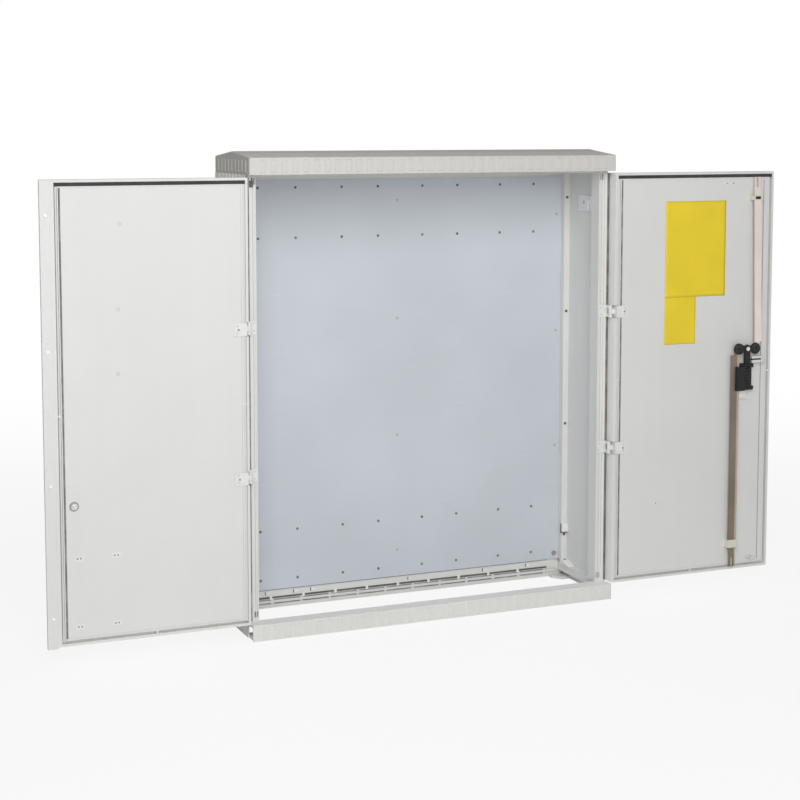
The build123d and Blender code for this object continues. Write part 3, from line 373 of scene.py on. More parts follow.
def shell_tone(name, scale=1.0, rough=0.5):
    """A moulding in the shell's colour, made lighter or darker."""
    return moulded(name, tone(bpy.context.scene.cabinet_finish.shell, scale), rough)


def dress(material, slot, *names):
    """Gives CAD nodes a material. The slot is not used."""
    for name in names:
        if name not in NODES:
            raise RuntimeError(f"The frame has no node {name}")
        node = NODES[name]
        node.data.materials.clear()
        node.data.materials.append(material)


SHARP = math.radians(38)


def place_piece(name, points, faces, material, body, bevel=0.0):
    """Makes a mesh from point and face arrays, lets it ride on a CAD body and rounds its edges."""
    mesh = bpy.data.meshes.new(name)
    mesh.from_pydata(points.reshape(-1, 3).tolist(), [], [f for part in faces for f in part.tolist()])
    if mesh.validate():
        raise RuntimeError(f"{name} has a faulty mesh")
    mesh.shade_smooth()
    mesh.materials.append(material)
    made = bpy.data.objects.new(name, mesh)
    bpy.context.scene.collection.objects.link(made)
    if bevel:
        edge = made.modifiers.new("edge", "BEVEL")
        edge.width = bevel
        edge.segments = 2
        edge.harden_normals = True
    else:
        mesh.set_sharp_from_angle(angle=SHARP)
    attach(made, body)
    return made


def boxes(name, spans, material, body, bevel=0.0005):
    """One piece of upright boxes: each corner is a box's middle plus or minus half of its three spans."""
    spans = np.asarray(spans, float)
    middle, half = spans.mean(axis=2), (spans[:, :, 1] - spans[:, :, 0]) / 2
    signs = np.stack(np.meshgrid((-1, 1), (-1, 1), (-1, 1), indexing="ij"), -1).reshape(8, 3)
    points = middle[:, None, :] + half[:, None, :] * signs
    around = [(0, 1, 3, 2), (4, 6, 7, 5), (0, 4, 5, 1), (2, 3, 7, 6), (0, 2, 6, 4), (1, 5, 7, 3)]
    faces = np.array(around)[None] + 8 * np.arange(len(spans))[:, None, None]
    return place_piece(name, points, [faces.reshape(-1, 4)], material, body, bevel)


def turned(name, profile, places, material, body, upright=False, around=20):
    """Solids of revolution, one at each place, that point along -Y or, if upright, along Z. Step i of the
    profile is a radius and a height; at angle a the point is radius cos a, -height, radius sin a."""
    radius, height = np.asarray(profile, float).T[:, :, None]
    angle = np.arange(around) * 2 * np.pi / around
    ring = np.stack((radius * np.cos(angle), -height + 0 * angle, radius * np.sin(angle)), -1)
    ends = [(0, -height[0, 0], 0), (0, -height[-1, 0], 0)]
    shape = np.vstack((ring.reshape(-1, 3), ends))
    if upright:
        shape = np.stack((shape[:, 0], shape[:, 2], -shape[:, 1]), -1)
    step = np.arange(around)
    turn = (step + 1) % around
    row = around * np.arange(len(radius) - 1)[:, None]
    back = row + around
    walls = np.stack((back + step, back + turn, row + turn, row + step), -1).reshape(-1, 4)
    last = around * (len(radius) - 1)
    pole = len(shape) - 2 + 0 * step
    caps = np.vstack((np.stack((step, turn, pole), -1), np.stack((last + turn, last + step, pole + 1), -1)))
    places = np.asarray(places, float)
    shift = len(shape) * np.arange(len(places))[:, None, None]
    points = shape[None] + places[:, None, :]
    faces = [(walls[None] + shift).reshape(-1, 4), (caps[None] + shift).reshape(-1, 3)]
    return place_piece(name, points, faces, material, body)


def prism(name, outline, x_span, material, body, bevel):
    """A solid with the same outline, given as Y and Z, at both ends of its span along X."""
    outline = np.asarray(outline, float)
    count = len(outline)
    ends = np.repeat(np.asarray(x_span, float), count)
    points = np.column_stack((ends, np.vstack((outline, outline))))
    step = np.arange(count)
    turn = (step + 1) % count
    walls = np.stack((step, turn, turn + count, step + count), -1)
    caps = np.stack((step[::-1], step + count))
    return place_piece(name, points, [walls, caps], material, body, bevel)


SIDES = (("left", -1), ("right", 1))
LEVELS = ("lower", "upper")
SINK = 0.001  # how deep a fitting reaches into the part that carries it


def span(first, second, sign=1):
    """A span in ascending order, mirrored if sign is -1."""
    return sorted((sign * first, sign * second))


def about(middle, half):
    """A span that reaches equally far on both sides of its middle."""
    return middle - half, middle + half


def raised(face, proud):
    """The span along Y of a fitting that stands proud of a front face and is sunk into it."""
    return face - proud, face + SINK


def on_face(face, spots):
    """Places on a front face, from pairs of X and Z."""
    return [(x, face, z) for x, z in spots]


# Profiles of the turned fittings: a radius and a height above the face at each step.
SHOE_SCREW = ((0.0036, 0.0012), (0.0046, 0.0004), (0.0046, -0.002))
PLATE_HOLE_SHADOW = ((0.0028, 0.0010), (0.0040, 0.0005), (0.0040, -0.001))
BOLT_HEAD = ((0.0030, 0.0042), (0.0058, 0.0042), (0.0064, 0.0030), (0.0064, 0.0012))
BOLT_WASHER = ((0.0085, 0.0010), (0.0085, -0.0002))
COLLAR = ((0.0042, 0.0034), (0.0078, 0.0034), (0.0092, 0.0020), (0.0092, -0.0004))
COLLAR_WASHER = ((0.0092, 0.0012), (0.0122, 0.0009), (0.0128, 0.0003), (0.0128, -0.0004))
FIXING_SEAT = ((0.0028, 0.0009), (0.0050, 0.0009), (0.0058, 0.0003), (0.0058, -0.0004))
FIXING_PIT = ((0.0018, 0.0014), (0.0026, 0.0011), (0.0026, -0.0004))
HINGE_SEAT = ((0.0040, 0.0012), (0.0062, 0.0012), (0.0074, 0.0004), (0.0074, -0.0004))
HINGE_SCREW = ((0.0020, 0.0017), (0.0034, 0.0015), (0.0034, -0.0004))

# Profiles of a cam disc's fittings: a share of the disc's radius and a height above the disc.
DISC_RING = ((0.45, 0.0004), (0.62, 0.0014), (0.84, 0.0014), (0.92, 0.0002), (0.92, -0.001))
DISC_PIN = ((0.18, 0.0019), (0.28, 0.0010), (0.28, -0.001))

# A cap of the closing strip is a flat dome: angles from its pole to its rim.
CAP_ANGLES = (0.25, 0.6, 0.95, 1.3, math.pi / 2)
CAP_RISE = 0.0014

# Heights of the rear rail's grooves, and where its catches stand along X.
RAIL_GROOVES = (0.013, 0.024)
RAIL_CATCHES = (-0.414, -0.328, -0.275, 0.035, 0.283, 0.43)

# The dark discs on the mounting plate, painted shade in its holes, stand in four pairs of columns.
HOLE_SHADOW_PAIRS = 4
HOLE_SHADOW_PITCH = 0.254
HOLE_SHADOW_HALF_GAP = 0.0565

# Where small fixings sit on the door panels, as X and Z.
LEFT_FIXINGS = ((-1.024, 0.277), (-1.024, 0.096), (-0.926, 0.277), (-0.926, 0.096))
LEFT_PLUGS = ((-0.904, 1.144), (-0.911, 0.923), (-0.914, 0.755))
RIGHT_FIXINGS = ((0.936, 1.2245), (0.958, 1.2245), (0.706, 0.274))


class CABINET_OT_gaskets(bpy.types.Operator):
    """Adds the gaskets, bead, liners and lips of the doors, the left jamb's gasket and vent, and the trims"""

    bl_idname = "cabinet.gaskets"
    bl_label = "Gaskets and trims"

    def execute(self, context):
        p = context.scene.cabinet_finish
        q = context.scene.cabinet_pieces
        gasket = rubbery("gasket_rubber", p.gasket)

        # Each gasket follows the left edge of a door panel; the bead is a real rib inside the right panel's
        # free edge, made grey to paint the shade line along it.
        for side, _ in SIDES:
            low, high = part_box(f"{side}_door_inner_panel")
            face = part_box(f"{side}_door_shell")[0].y
            spans = [(about(low.x, q.gasket_width / 2), raised(face, q.gasket_proud), (low.z, high.z))]
            boxes(f"{side}_door_gasket", spans, gasket, f"{side}_door")
        low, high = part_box("right_door_inner_panel")
        across = about(high.x - q.bead_inset, 0.0012)
        spans = [(across, raised(low.y, 0.0005), (low.z + 0.004, high.z - 0.004))]
        dim = shell_tone("bead_moulding", 0.42)
        boxes("right_door_bead", spans, dim, "right_door", bevel=0.0003)

        # The liners lie in the grooves below the top seals: by the hinges, and at the left door's free edge.
        liner = shell_tone("liner_moulding", 0.9)
        gap = 0.0003
        for side, sign in SIDES:
            seal_low, seal_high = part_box(f"{side}_door_top_seal")
            near, far = sorted((abs(seal_low.x), abs(seal_high.x)))
            near, far = near + gap, far - gap
            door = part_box(f"{side}_door_shell")[0]
            depth = (door.y + 0.0016, door.y + 0.004)
            reach = (door.z + 0.012, seal_low.z - 0.0005)
            spans = [(span(near, near + q.liner_width, sign), depth, reach)]
            if side == "left":
                spans.append((span(far - q.liner_width, far - 0.002, sign), depth, reach))
            boxes(f"{side}_door_liner", spans, liner, f"{side}_door")

        # The left jamb's gasket is as high as the door, and its vent is near the top.
        low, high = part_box("jamb_left")
        door_low, door_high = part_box("left_door_shell")
        across = (low.x, low.x + q.gasket_width + 0.0015)
        spans = [(across, raised(low.y, 0.0012), (door_low.z, door_high.z))]
        boxes("left_jamb_gasket", spans, gasket, "cabinet")
        vent = ((low.x + 0.0075, low.x + 0.0185), raised(low.y, 0.0003), (high.z - 0.034, high.z - 0.016))
        deep = rubbery("vent_rubber", tone(p.gasket, 0.5))
        boxes("left_jamb_vent", [vent], deep, "cabinet", bevel=0.0)

        # A lip covers the upper part of each top seal.
        lip_rubber = rubbery("lip_rubber", p.rubber)
        for side, _ in SIDES:
            low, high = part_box(f"{side}_door_top_seal")
            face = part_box(f"{side}_door_shell")[0].y
            lip = ((low.x, high.x), raised(face, 0.0004), (high.z - q.top_lip, high.z + 0.0003))
            boxes(f"{side}_door_top_lip", [lip], lip_rubber, f"{side}_door", bevel=0.0003)

        # The right door's hinge edge is covered with a brighter moulding, a painted highlight, wherever no
        # hinge leaf is in the way.
        bright = shell_tone("edge_moulding", 1.2)
        low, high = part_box("right_door_shell")
        leaves = [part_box(f"hinge_right_{level}_door_leaf") for level in LEVELS]
        ends = [z for leaf in leaves for z in (leaf[0].z - 0.001, leaf[1].z + 0.001)]
        stops = [low.z] + ends + [high.z]
        across, depth = (low.x - 0.0006, low.x), (low.y + 0.0005, high.y - 0.0005)
        covers = [(across, depth, stretch) for stretch in zip(stops[::2], stops[1::2])]
        boxes("right_door_edge_covers", covers, bright, "right_door", bevel=0.0)

        # The side trims reach out behind the frame's seals, across the slits beside the open doors.
        trim = shell_tone("trim_moulding")
        for side, sign in SIDES:
            low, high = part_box(f"frame_seal_{side}")
            near = max(abs(low.x), abs(high.x))
            across = span(near - SINK, near + q.trim_reach, sign)
            spans = [(across, (low.y + 0.0028, high.y), (low.z, high.z))]
            boxes(f"side_trim_{side}", spans, trim, "cabinet")
        return {"FINISHED"}


class CABINET_OT_rail_fittings(bpy.types.Operator):
    """Adds the strips, clips and catches of the rear rail, and the corner shoes beside it"""

    bl_idname = "cabinet.rail_fittings"
    bl_label = "Rear rail fittings"

    def execute(self, context):
        p = context.scene.cabinet_finish
        q = context.scene.cabinet_pieces
        pale = shell_tone("clip_moulding", 1.15, 0.42)
        # The dark strip along the rail and the dark line under its top edge are painted shade.
        dark = rubbery("strip_rubber", tone(p.gasket, 0.55))
        low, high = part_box("base_rear_rail")
        front = low.y
        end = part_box("rear_post_right")[0].x - 0.003
        reach = (-end, end)
        level = q.strip_level
        strip = (reach, raised(front, 0.0012), about(level, q.strip_half))
        gap = (reach, raised(front, 0.0008), (high.z - 0.0022, high.z - 0.0006))
        boxes("rail_seal_strip", [strip, gap], dark, "cabinet", bevel=0.0003)
        # The grey fills in the rail's grooves are painted shade.
        shade = rubbery("groove_rubber", tone(p.gasket, 1.6))
        fills = [(reach, (front + 0.0004, front + 0.002), about(z, 0.0011)) for z in RAIL_GROOVES]
        boxes("rail_groove_strips", fills, shade, "cabinet", bevel=0.0)

        # The clips have an even pitch; the catches above them don't, and each has a dark slot on its left,
        # which is painted shade.
        count = int(end // q.clip_pitch)
        centres = q.clip_pitch * np.arange(-count, count + 1) - q.clip_shift
        clips = [(about(x, q.clip_width / 2), raised(front, 0.0024), about(level, 0.006)) for x in centres]
        boxes("rail_clips", clips, pale, "cabinet")
        catches = [(about(x, 0.006), raised(front, 0.0022), (0.0395, 0.0475)) for x in RAIL_CATCHES]
        boxes("rail_catches", catches, pale, "cabinet")
        slots = [((x - 0.0085, x - 0.0065), raised(front, 0.0018), (0.039, 0.048)) for x in RAIL_CATCHES]
        boxes("rail_catch_slots", slots, dark, "cabinet", bevel=0.0003)

        # A corner shoe stands on each side rail against the wall and slopes down to the front.
        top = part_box("base_side_rail_right")[1].z
        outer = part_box("side_wall_right")[0].x
        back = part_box("rear_post_right")[0].y - 0.001
        tip = back - 0.051
        slope = ((back, top + 0.015), (back - 0.019, top + 0.0135), (tip, top + 0.002))
        outline = ((back, top), *slope, (tip, top))
        steel = plated("shoe_screw_steel", tone(p.steel, 0.35), 0.4)
        for side, sign in SIDES:
            reach = span(outer - q.shoe_width, outer - 0.0004, sign)
            prism(f"corner_shoe_{side}", outline, reach, pale, "cabinet", bevel=0.003)
            spot = (sign * (outer - q.shoe_width / 2), back - 0.0095, top + 0.0143)
            turned(f"corner_screw_{side}", SHOE_SCREW, [spot], steel, "cabinet", upright=True)
        return {"FINISHED"}


class CABINET_OT_back_fittings(bpy.types.Operator):
    """Adds the painted hole shadows, top trim and corner bolts of the mounting plate, the blocks on the rear
    posts and the catch of the blank plate"""

    bl_idname = "cabinet.back_fittings"
    bl_label = "Back wall fittings"

    def execute(self, context):
        p = context.scene.cabinet_finish
        # Dark discs over the plate's holes: painted shade.
        plug = rubbery("plug_rubber", p.plug)
        low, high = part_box("mounting_plate")
        rows = (low.z + 0.029, low.z + 0.173, high.z - 0.166, high.z - 0.022)
        middles = (np.arange(HOLE_SHADOW_PAIRS)[:, None] - (HOLE_SHADOW_PAIRS - 1) / 2) * HOLE_SHADOW_PITCH
        columns = middles + np.array((-HOLE_SHADOW_HALF_GAP, HOLE_SHADOW_HALF_GAP))
        places = [(x, low.y, z) for x in columns.ravel() for z in rows]
        turned("plate_plugs", PLATE_HOLE_SHADOW, places, plug, "cabinet", around=12)

        # The top trim closes the slit between the plate and the lintel, from post to post.
        post_low, post_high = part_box("rear_post_right")
        end = post_low.x - 0.0005
        rise = (high.z + 0.0001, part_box("lintel")[0].z + 0.004)
        trim = ((-end, end), (low.y + 0.0008, high.y - 0.0008), rise)
        boxes("plate_top_trim", [trim], shell_tone("top_trim_moulding"), "cabinet")

        # The two lower corner bolts sit over the plate's screws.
        screw_low, screw_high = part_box("mounting_plate_screws")
        inset = 0.004
        steel = plated("bolt_steel", tone(p.steel, 0.8), 0.3)
        places = [(sign * (screw_high.x - inset), screw_low.y, screw_low.z + inset) for _, sign in SIDES]
        profile = BOLT_HEAD + BOLT_WASHER
        turned("plate_corner_bolts", profile, places, steel, "cabinet", around=6)

        # A block with a dark pad behind it sits low on each rear post.
        wall, face = post_high.x, post_low.y
        pale = shell_tone("block_moulding", 1.15, 0.42)
        dark = rubbery("pad_rubber", p.gasket)
        depth, rise = (face - 0.011, face), (0.146, 0.172)
        blocks = [(span(wall - 0.0205, wall - 0.0004, sign), depth, rise) for _, sign in SIDES]
        boxes("post_blocks", blocks, pale, "cabinet", bevel=0.0012)
        depth, rise = (face - 0.0028, face), (0.140, 0.171)
        pads = [(span(wall - 0.0235, wall - 0.0006, sign), depth, rise) for _, sign in SIDES]
        boxes("post_block_pads", pads, dark, "cabinet")

        # The blank plate has a catch, a ledge along its foot and a dark slot, which is painted shade.
        low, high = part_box("blank_plate")
        bright = moulded("plate_moulding", p.blank, 0.36)
        middle = (low.y + high.y) / 2
        catch = ((low.x - 0.005, low.x), (middle - 0.015, middle - 0.008), (low.z + 0.004, high.z - 0.012))
        ledge = ((low.x - 0.0045, low.x), (low.y, high.y), (low.z - 0.001, low.z + 0.005))
        boxes("blank_plate_catch", [catch, ledge], bright, "cabinet", bevel=0.001)
        slot = ((low.x - 0.0004, low.x + SINK), about(middle + 0.018, 0.002), (low.z + 0.019, low.z + 0.030))
        boxes("blank_plate_slot", [slot], dark, "cabinet", bevel=0.0)
        return {"FINISHED"}


class CABINET_OT_door_fittings(bpy.types.Operator):
    """Adds the collar, the fixing marks, the screw seats of the hinges and the caps of the closing strip"""

    bl_idname = "cabinet.door_fittings"
    bl_label = "Door fittings"

    def execute(self, context):
        p = context.scene.cabinet_finish
        q = context.scene.cabinet_pieces
        pale = shell_tone("seat_moulding", 1.12, 0.4)
        grey = shell_tone("mark_moulding", 0.45)
        steel = plated("collar_steel", p.steel, 0.3)
        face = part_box("left_door_inner_panel")[0].y
        low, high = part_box("left_door_stud")
        stud = on_face(face, [((low.x + high.x) / 2, (low.z + high.z) / 2)])
        turned("left_door_collar", COLLAR, stud, steel, "left_door")
        turned("left_door_collar_washer", COLLAR_WASHER, stud, grey, "left_door")

        # Each lower fixing of the left door has a flat seat with two pits; the plugs higher up are faint.
        seats = [(about(x, 0.011), raised(face, 0.0005), about(z, 0.006)) for x, z in LEFT_FIXINGS]
        boxes("left_fixing_seats", seats, pale, "left_door", bevel=0.0004)
        plain = shell_tone("plug_moulding", 0.9)
        turned("left_faint_plugs", FIXING_SEAT, on_face(face, LEFT_PLUGS), plain, "left_door")
        # The pits on both doors are grey: painted shade in them.
        pairs = on_face(face, [(x + shift, z) for x, z in LEFT_FIXINGS for shift in (-0.005, 0.004)])
        turned("left_fixing_pits", FIXING_PIT, pairs, grey, "left_door")
        fixings = on_face(face, RIGHT_FIXINGS)
        turned("right_fixing_seats", FIXING_SEAT, fixings, pale, "right_door")
        turned("right_fixing_pits", FIXING_PIT, fixings, grey, "right_door")

        # The grey hinge screws paint the shade in the recesses at the middle of the hinge leaves.
        for side, sign in SIDES:
            leaves = [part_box(f"hinge_{side}_{level}_door_leaf") for level in LEVELS]
            places = [(sign * q.hinge_seat, low.y, (low.z + high.z) / 2) for low, high in leaves]
            turned(f"hinge_seats_{side}", HINGE_SEAT, places, pale, f"{side}_door")
            turned(f"hinge_screws_{side}", HINGE_SCREW, places, grey, f"{side}_door")

        low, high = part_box("closing_strip_screws")
        radius = q.cap_radius + 0.0008
        profile = [(radius * math.sin(a), CAP_RISE * math.cos(a)) for a in CAP_ANGLES]
        profile.append((radius, -0.0006))
        levels = np.linspace(low.z + q.cap_radius, high.z - q.cap_radius, 4)
        places = on_face(low.y, [((low.x + high.x) / 2, z) for z in levels])
        white = shell_tone("cap_moulding", 1.25, 0.3)
        turned("closing_strip_caps", profile, places, white, "left_door")
        return {"FINISHED"}


class CABINET_OT_lock_fittings(bpy.types.Operator):
    """Adds the rings and pins of the cam's discs, the ribs of the housing, the bracket's slot as painted
    shade, the tail below the lock and a painted slot shadow on the upper rod's guide"""

    bl_idname = "cabinet.lock_fittings"
    bl_label = "Lock fittings"

    def execute(self, context):
        p = context.scene.cabinet_finish
        q = context.scene.cabinet_pieces
        worn = black("worn_black", tone(p.plastic, 2.2), 0.3)
        dark = black("slot_black", p.plastic, 0.5)
        low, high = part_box("lock_cam")
        radius = q.disc_radius
        discs = [(low.x + radius, low.y, high.z - radius), (high.x - radius, low.y, high.z - radius)]
        ring = [(radius * share, height) for share, height in DISC_RING]
        turned("cam_disc_rings", ring, discs, worn, "lock", around=28)
        pin = [(radius * share, height) for share, height in DISC_PIN]
        turned("cam_disc_pins", pin, discs, dark, "lock")

        low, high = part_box("lock_housing")
        across, depth = (low.x + 0.031, low.x + 0.050), raised(low.y, 0.0007)
        levels = np.linspace(low.z + 0.014, high.z - 0.02, q.rib_count)
        ribs = [(across, depth, (z, z + 0.0028)) for z in levels]
        boxes("housing_ribs", ribs, worn, "right_door", bevel=0.0003)
        left, right, base = low.x, high.x, low.z
        low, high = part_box("lock_bracket")
        # The bracket's slot is a dark piece: painted shade.
        slot = ((low.x + 0.010, high.x - 0.012), raised(low.y, 0.0002), (low.z + 0.008, low.z + 0.0125))
        boxes("bracket_slot", [slot], dark, "right_door", bevel=0.0)

        pale = shell_tone("tail_moulding", 1.1, 0.4)
        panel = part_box("right_door_inner_panel")[0].y
        left, rest = left + 0.019, panel + 0.0002
        tail = ((left, right - 0.024), (panel - 0.012, rest), (base - 0.024, base + SINK))
        foot = ((left, right - 0.008), (panel - 0.004, rest), (base - 0.030, base - 0.020))
        boxes("lock_tail", [tail, foot], pale, "right_door", bevel=0.001)
        low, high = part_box("upper_rod_guide")
        # A dark piece on the upper rod's guide: a painted slot shadow.
        slot_shadow = (about((low.x + high.x) / 2, 0.009), raised(low.y, 0.0005), (low.z + 0.003, high.z - 0.004))
        boxes("upper_guide_clip", [slot_shadow], dark, "right_door", bevel=0.0003)
        return {"FINISHED"}


class CABINET_OT_shell(bpy.types.Operator):
    """Finishes the moulded walls, doors, rear posts, lintel, jambs and the blank plate"""

    bl_idname = "cabinet.shell"
    bl_label = "Shell finish"

    def execute(self, context):
        p = context.scene.cabinet_finish
        pairs = ("side_wall_{}", "rear_post_{}", "{}_door_shell", "{}_door_inner_panel")
        names = [pair.format(side) for pair in pairs for side, _ in SIDES]
        light = moulded("light_moulding", p.shell, p.shell_rough)
        dress(light, "light_grp", "rear_wall", "lintel", *names)
        dress(ribbed_jamb("jamb_moulding", p.shell, p.shell_rough), "light_grp", "jamb_left", "jamb_right")
        dress(moulded("blank_moulding", p.blank, 0.4), "light_grp", "blank_plate")
        return {"FINISHED"}


class CABINET_OT_roof(bpy.types.Operator):
    """Finishes the roof and the plinth"""

    bl_idname = "cabinet.roof"
    bl_label = "Roof and plinth finish"

    def execute(self, context):
        p = context.scene.cabinet_finish
        dress(weathered("roof_moulding", p.roof, p.shell_rough), "roof_grp", "roof")
        sill = moulded("sill_moulding", p.base, p.shell_rough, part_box("base_front_rail")[1].z)
        dress(sill, "roof_grp", "base_front_rail")
        pairs = ("base_side_rail_{}", "base_gusset_front_{}", "base_gusset_rear_{}")
        names = [pair.format(side) for pair in pairs for side, _ in SIDES]
        dress(moulded("base_moulding", p.base, p.shell_rough), "roof_grp", "base_rear_rail", *names)
        return {"FINISHED"}


class CABINET_OT_plate(bpy.types.Operator):
    """Finishes the mounting plate"""

    bl_idname = "cabinet.plate"
    bl_label = "Mounting plate finish"

    def execute(self, context):
        p = context.scene.cabinet_finish
        dress(painted("plate_paint", p.plate), "plate_grey", "mounting_plate")
        return {"FINISHED"}


class CABINET_OT_seals(bpy.types.Operator):
    """Finishes the rubber seals of the doors and the frame"""

    bl_idname = "cabinet.seals"
    bl_label = "Seal finish"

    def execute(self, context):
        p = context.scene.cabinet_finish
        top = rubbery("seal_rubber_mat", p.rubber)
        dress(top, "seal_rubber", "left_door_top_seal", "right_door_top_seal")
        dress(rubbery("side_rubber", p.grey_rubber), "seal_rubber", "frame_seal_left", "frame_seal_right")
        return {"FINISHED"}


class CABINET_OT_metal(bpy.types.Operator):
    """Finishes the rods, the screws, pins and studs, and the lock's bracket"""

    bl_idname = "cabinet.metal"
    bl_label = "Metal finish"

    def execute(self, context):
        p = context.scene.cabinet_finish
        zinc = plated("zinc_plating", p.zinc, 0.34)
        dress(zinc, "zinc_steel", "closing_strip_screws", "lock_bracket")
        dull = plated("plate_screw_plating", tone(p.steel, 0.8), 0.4, metallic=0.2)
        dress(dull, "zinc_steel", "mounting_plate_screws")
        dress(plated("post_screw_plating", p.bolt, 0.4), "zinc_steel", "rear_post_screws")
        # Each rod gets painted shade on the left of an edge and painted reflections along it.
        lean = 0.0247
        low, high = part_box("upper_rod")
        edge = high.x + lean * low.z - 0.027
        upper = edged_rod("upper_rod_plating", p.upper, lean, (edge, edge + 0.006), 0.45)
        dress(upper, "zinc_steel", "upper_rod")
        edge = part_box("lower_rod")[1].x
        lower = edged_rod("lower_rod_plating", p.lower, 0.0, (edge - 0.0075, edge - 0.0055), 0.42)
        dress(lower, "zinc_steel", "lower_rod")
        bright = plated("bright_steel_mat", p.steel, 0.24)
        dress(bright, "bright_steel", "left_door_stud", "right_door_stud")
        dress(bright, "bright_steel", "lever_pin", "cam_screw", "lock_spindle", "lock_cylinder")
        return {"FINISHED"}


class CABINET_OT_plastic(bpy.types.Operator):
    """Finishes the lock housing, cam, handle and rod guides, the hinges and the closing strip"""

    bl_idname = "cabinet.plastic"
    bl_label = "Plastic finish"

    def execute(self, context):
        p = context.scene.cabinet_finish
        names = ("handle_lever", "handle_plate", "lock_cam", "lock_housing")
        dress(black("black_moulding", p.plastic, 0.36), "black_plastic", *names)
        cream = moulded("cream_moulding", p.cream, 0.4)
        dress(cream, "black_plastic", "lower_rod_guide", "upper_rod_guide")
        hinges = [name for name in NODES if name.startswith("hinge_")]
        dress(moulded("hinge_moulding", p.hinge, 0.42), "hinge_metal", *hinges)
        dress(shell_tone("strip_moulding"), "light_grp", "closing_strip")
        return {"FINISHED"}


def sheet(name, x_span, z_span, face, material, node):
    """A thin bare sheet on the door in place of a CAD node. It stands off the panel by a gap, plus a shallow
    wave, the sine of a slanted direction, plus a lift that grows with the fourth power towards its corners.
    """
    columns, rows = 25, 31
    gap, sway, curl = 0.0005, 0.0006, 0.0003
    across, up = np.meshgrid(np.linspace(0, 1, columns), np.linspace(0, 1, rows), indexing="ij")
    wave = 0.5 + 0.5 * np.sin(2 * np.pi * (1.2 * across + 1.7 * up))
    corner = (2 * across - 1) ** 4 * (2 * up - 1) ** 4
    depth = face - gap - sway * wave - curl * corner
    x = x_span[0] + (x_span[1] - x_span[0]) * across
    z = z_span[0] + (z_span[1] - z_span[0]) * up
    points = np.stack((x, depth, z), -1)
    column, row = np.meshgrid(np.arange(columns - 1), np.arange(rows - 1), indexing="ij")
    first = column * rows + row
    faces = np.stack((first, first + rows, first + rows + 1, first + 1), -1).reshape(-1, 4)
    made = place_piece(name, points, [faces], material, "right_door")
    skin = made.modifiers.new("thickness", "SOLIDIFY")
    skin.thickness = 0.0003
    skin.offset = 0
    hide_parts(node)


class CABINET_OT_paper(bpy.types.Operator):
    """Adds the two sheets on the right door in place of the plain ones"""

    bl_idname = "cabinet.paper"
    bl_label = "Sheets"

    def execute(self, context):
        p = context.scene.cabinet_finish
        q = context.scene.cabinet_pieces
        yellow = papery("yellow_sheet", p.paper)
        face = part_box("right_door_inner_panel")[0].y
        wide = (q.sheet_left, q.sheet_left + q.sheet_wide)
        sheet("paper_large", wide, (q.sheet_step, q.sheet_top), face, yellow, "label_sheet_large")
        narrow = (q.sheet_left, q.sheet_left + q.sheet_narrow)
        rise = (q.sheet_foot, q.sheet_step + 0.0015)
        sheet("paper_small", narrow, rise, face + 0.0002, yellow, "label_sheet_small")
        return {"FINISHED"}


# Each lamp's name, place, target and size.
LAMPS = (
    ("key", (-1.2, -3.1, 2.6), (-0.1, 0, 0.6), 1.8),
    ("fill", (-1.4, -7.0, 1.1), (0, 0, 0.6), 3.0),
    ("back", (1.7, 5.0, 1.0), (0, 0, 0.6), 1.7),
)
CAMERA_PLACE = (-1.9478, -4.4848, 1.3921)
CAMERA_DOWN = 5.647
CAMERA_TURN = 22.855
SENSOR = 36
FLOOR_HALF = 30
FLOOR_GLOW = 0.86


def lamp(name, place, target, size, power):
    """A square area lamp that faces its target."""
    data = bpy.data.lights.new(name, "AREA")
    data.size = size
    data.energy = power
    made = bpy.data.objects.new(name, data)
    made.location = place
    made.rotation_euler = (Vector(target) - Vector(place)).to_track_quat("-Z", "Y").to_euler()
    made.visible_camera = False
    bpy.context.scene.collection.objects.link(made)


def floor_paint(rgb):
    """Pale floor. To the camera and in reflections it is mostly a white glow, less so near the cabinet, where
    the shadow has to show."""
    made, shader, at = begin("floor_paint")
    tree = made.node_tree
    cloud = at.noise(0.7, 3.0)
    base = cloud.mix(tone(rgb, 0.985), tone(rgb))
    finish_surface(made, shader, base, 0.8 + 0.1 * cloud, cloud, depth=0.00002)
    ray = tree.nodes.new("ShaderNodeLightPath").outputs
    seen = Socket(tree, ray["Is Camera Ray"]) + Socket(tree, ray["Is Glossy Ray"])
    far = at.add("ShaderNodeVectorMath", {"operation": "LENGTH"}, {0: at}, 1).band(1.2, 5.0)
    glow = at.add("ShaderNodeEmission", {}, {"Color": (1, 1, 1, 1), "Strength": 1.0})
    share = (FLOOR_GLOW + (1.0 - FLOOR_GLOW) * far) * seen.band(0, 1)
    both = at.add("ShaderNodeMixShader", {}, {0: share, 2: glow})
    tree.links.new(shader.outputs[0], both.out.node.inputs[1])
    tree.links.new(both.out, tree.nodes["Material Output"].inputs["Surface"])
    return made


def even_light(sky):
    """A white world: full strength where the camera sees it, partly in reflections, and weak as a light."""
    world = bpy.data.worlds.new("even_light")
    world.use_nodes = True
    tree = world.node_tree
    ray = tree.nodes.new("ShaderNodeLightPath").outputs
    direct = Socket(tree, ray["Is Camera Ray"]) + Socket(tree, ray["Is Transmission Ray"])
    seen = (direct + 0.45 * Socket(tree, ray["Is Glossy Ray"])).band(0.0, 1.0)
    strength = sky + (1.0 - sky) * seen
    back = tree.nodes["Background"]
    back.inputs["Color"].default_value = (1, 1, 1, 1)
    tree.links.new(strength.out, back.inputs["Strength"])
    return world


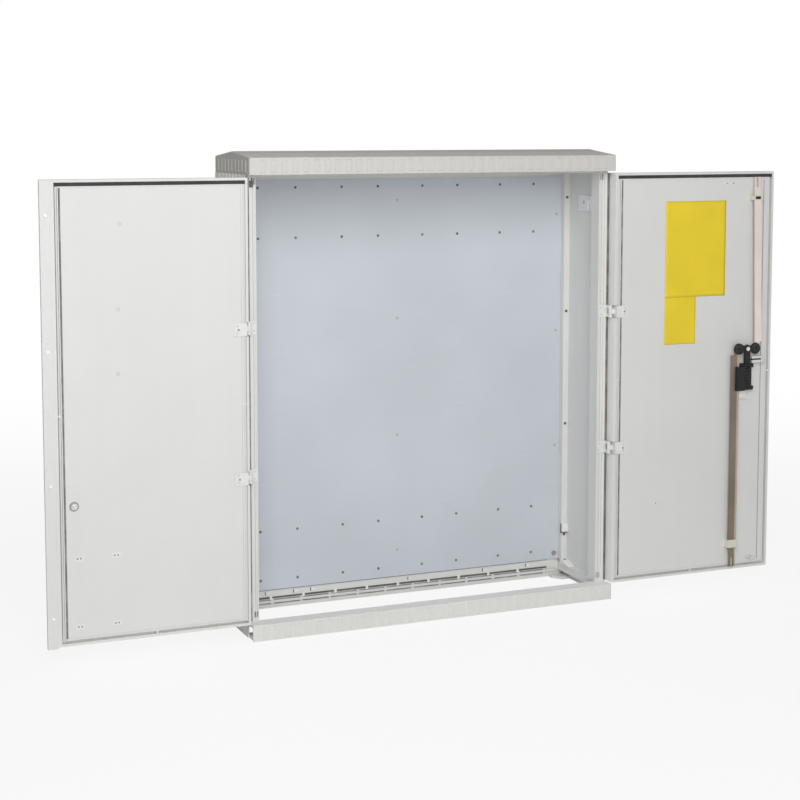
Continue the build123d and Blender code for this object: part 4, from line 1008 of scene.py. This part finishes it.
class CABINET_OT_stage(bpy.types.Operator):
    """Adds the floor, the lamps, the even surrounding light and the camera"""

    bl_idname = "cabinet.stage"
    bl_label = "Stage"

    def execute(self, context):
        p = context.scene.cabinet_stage
        scene = context.scene
        scene.view_settings.view_transform = "Standard"

        mesh = bpy.data.meshes.new("floor")
        half = FLOOR_HALF
        corners = [(-half, -half, 0), (half, -half, 0), (half, half, 0), (-half, half, 0)]
        mesh.from_pydata(corners, [], [(0, 1, 2, 3)])
        mesh.materials.append(floor_paint(p.floor))
        floor = bpy.data.objects.new("floor", mesh)
        scene.collection.objects.link(floor)

        scene.world = even_light(p.sky)
        for name, place, target, size in LAMPS:
            lamp(name, place, target, size, getattr(p, f"{name}_power"))

        data = bpy.data.cameras.new("camera")
        data.lens = p.lens
        data.sensor_width = SENSOR
        data.shift_y = p.shift
        data.clip_end = 100
        camera = bpy.data.objects.new("camera", data)
        camera.location = CAMERA_PLACE
        camera.rotation_euler = (math.radians(90 - CAMERA_DOWN), 0, math.radians(-CAMERA_TURN))
        scene.collection.objects.link(camera)
        scene.camera = camera
        return {"FINISHED"}


GROUPS = (CabinetFinish, CabinetPieces, CabinetStage)
STEPS = (
    CABINET_OT_shell,
    CABINET_OT_roof,
    CABINET_OT_plate,
    CABINET_OT_seals,
    CABINET_OT_metal,
    CABINET_OT_plastic,
    CABINET_OT_paper,
    CABINET_OT_gaskets,
    CABINET_OT_rail_fittings,
    CABINET_OT_back_fittings,
    CABINET_OT_door_fittings,
    CABINET_OT_lock_fittings,
    CABINET_OT_stage,
)


class CABINET_PT_tools(bpy.types.Panel):
    """Lists the cabinet's steps"""

    bl_idname = "CABINET_PT_tools"
    bl_label = "Cabinet"
    bl_space_type = "VIEW_3D"
    bl_region_type = "UI"
    bl_category = "Cabinet"

    def draw(self, context):
        for step in STEPS:
            self.layout.operator(step.bl_idname)
        scene = context.scene
        for group in (scene.cabinet_finish, scene.cabinet_pieces, scene.cabinet_stage):
            for name in group.__annotations__:
                self.layout.prop(group, name)


def register():
    """Registers the classes and puts the three groups of settings on the scene."""
    for cls in GROUPS + STEPS + (CABINET_PT_tools,):
        bpy.utils.register_class(cls)
    bpy.types.Scene.cabinet_finish = PointerProperty(type=CabinetFinish)
    bpy.types.Scene.cabinet_pieces = PointerProperty(type=CabinetPieces)
    bpy.types.Scene.cabinet_stage = PointerProperty(type=CabinetStage)


def unregister():
    """Takes the settings and the classes away again."""
    del bpy.types.Scene.cabinet_stage
    del bpy.types.Scene.cabinet_pieces
    del bpy.types.Scene.cabinet_finish
    for cls in reversed(GROUPS + STEPS + (CABINET_PT_tools,)):
        bpy.utils.unregister_class(cls)


def main():
    """Runs every step in order."""
    register()
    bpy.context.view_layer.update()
    for step in STEPS:
        group, name = step.bl_idname.split(".")
        getattr(getattr(bpy.ops, group), name)()


if __name__ == "__main__":
    main()
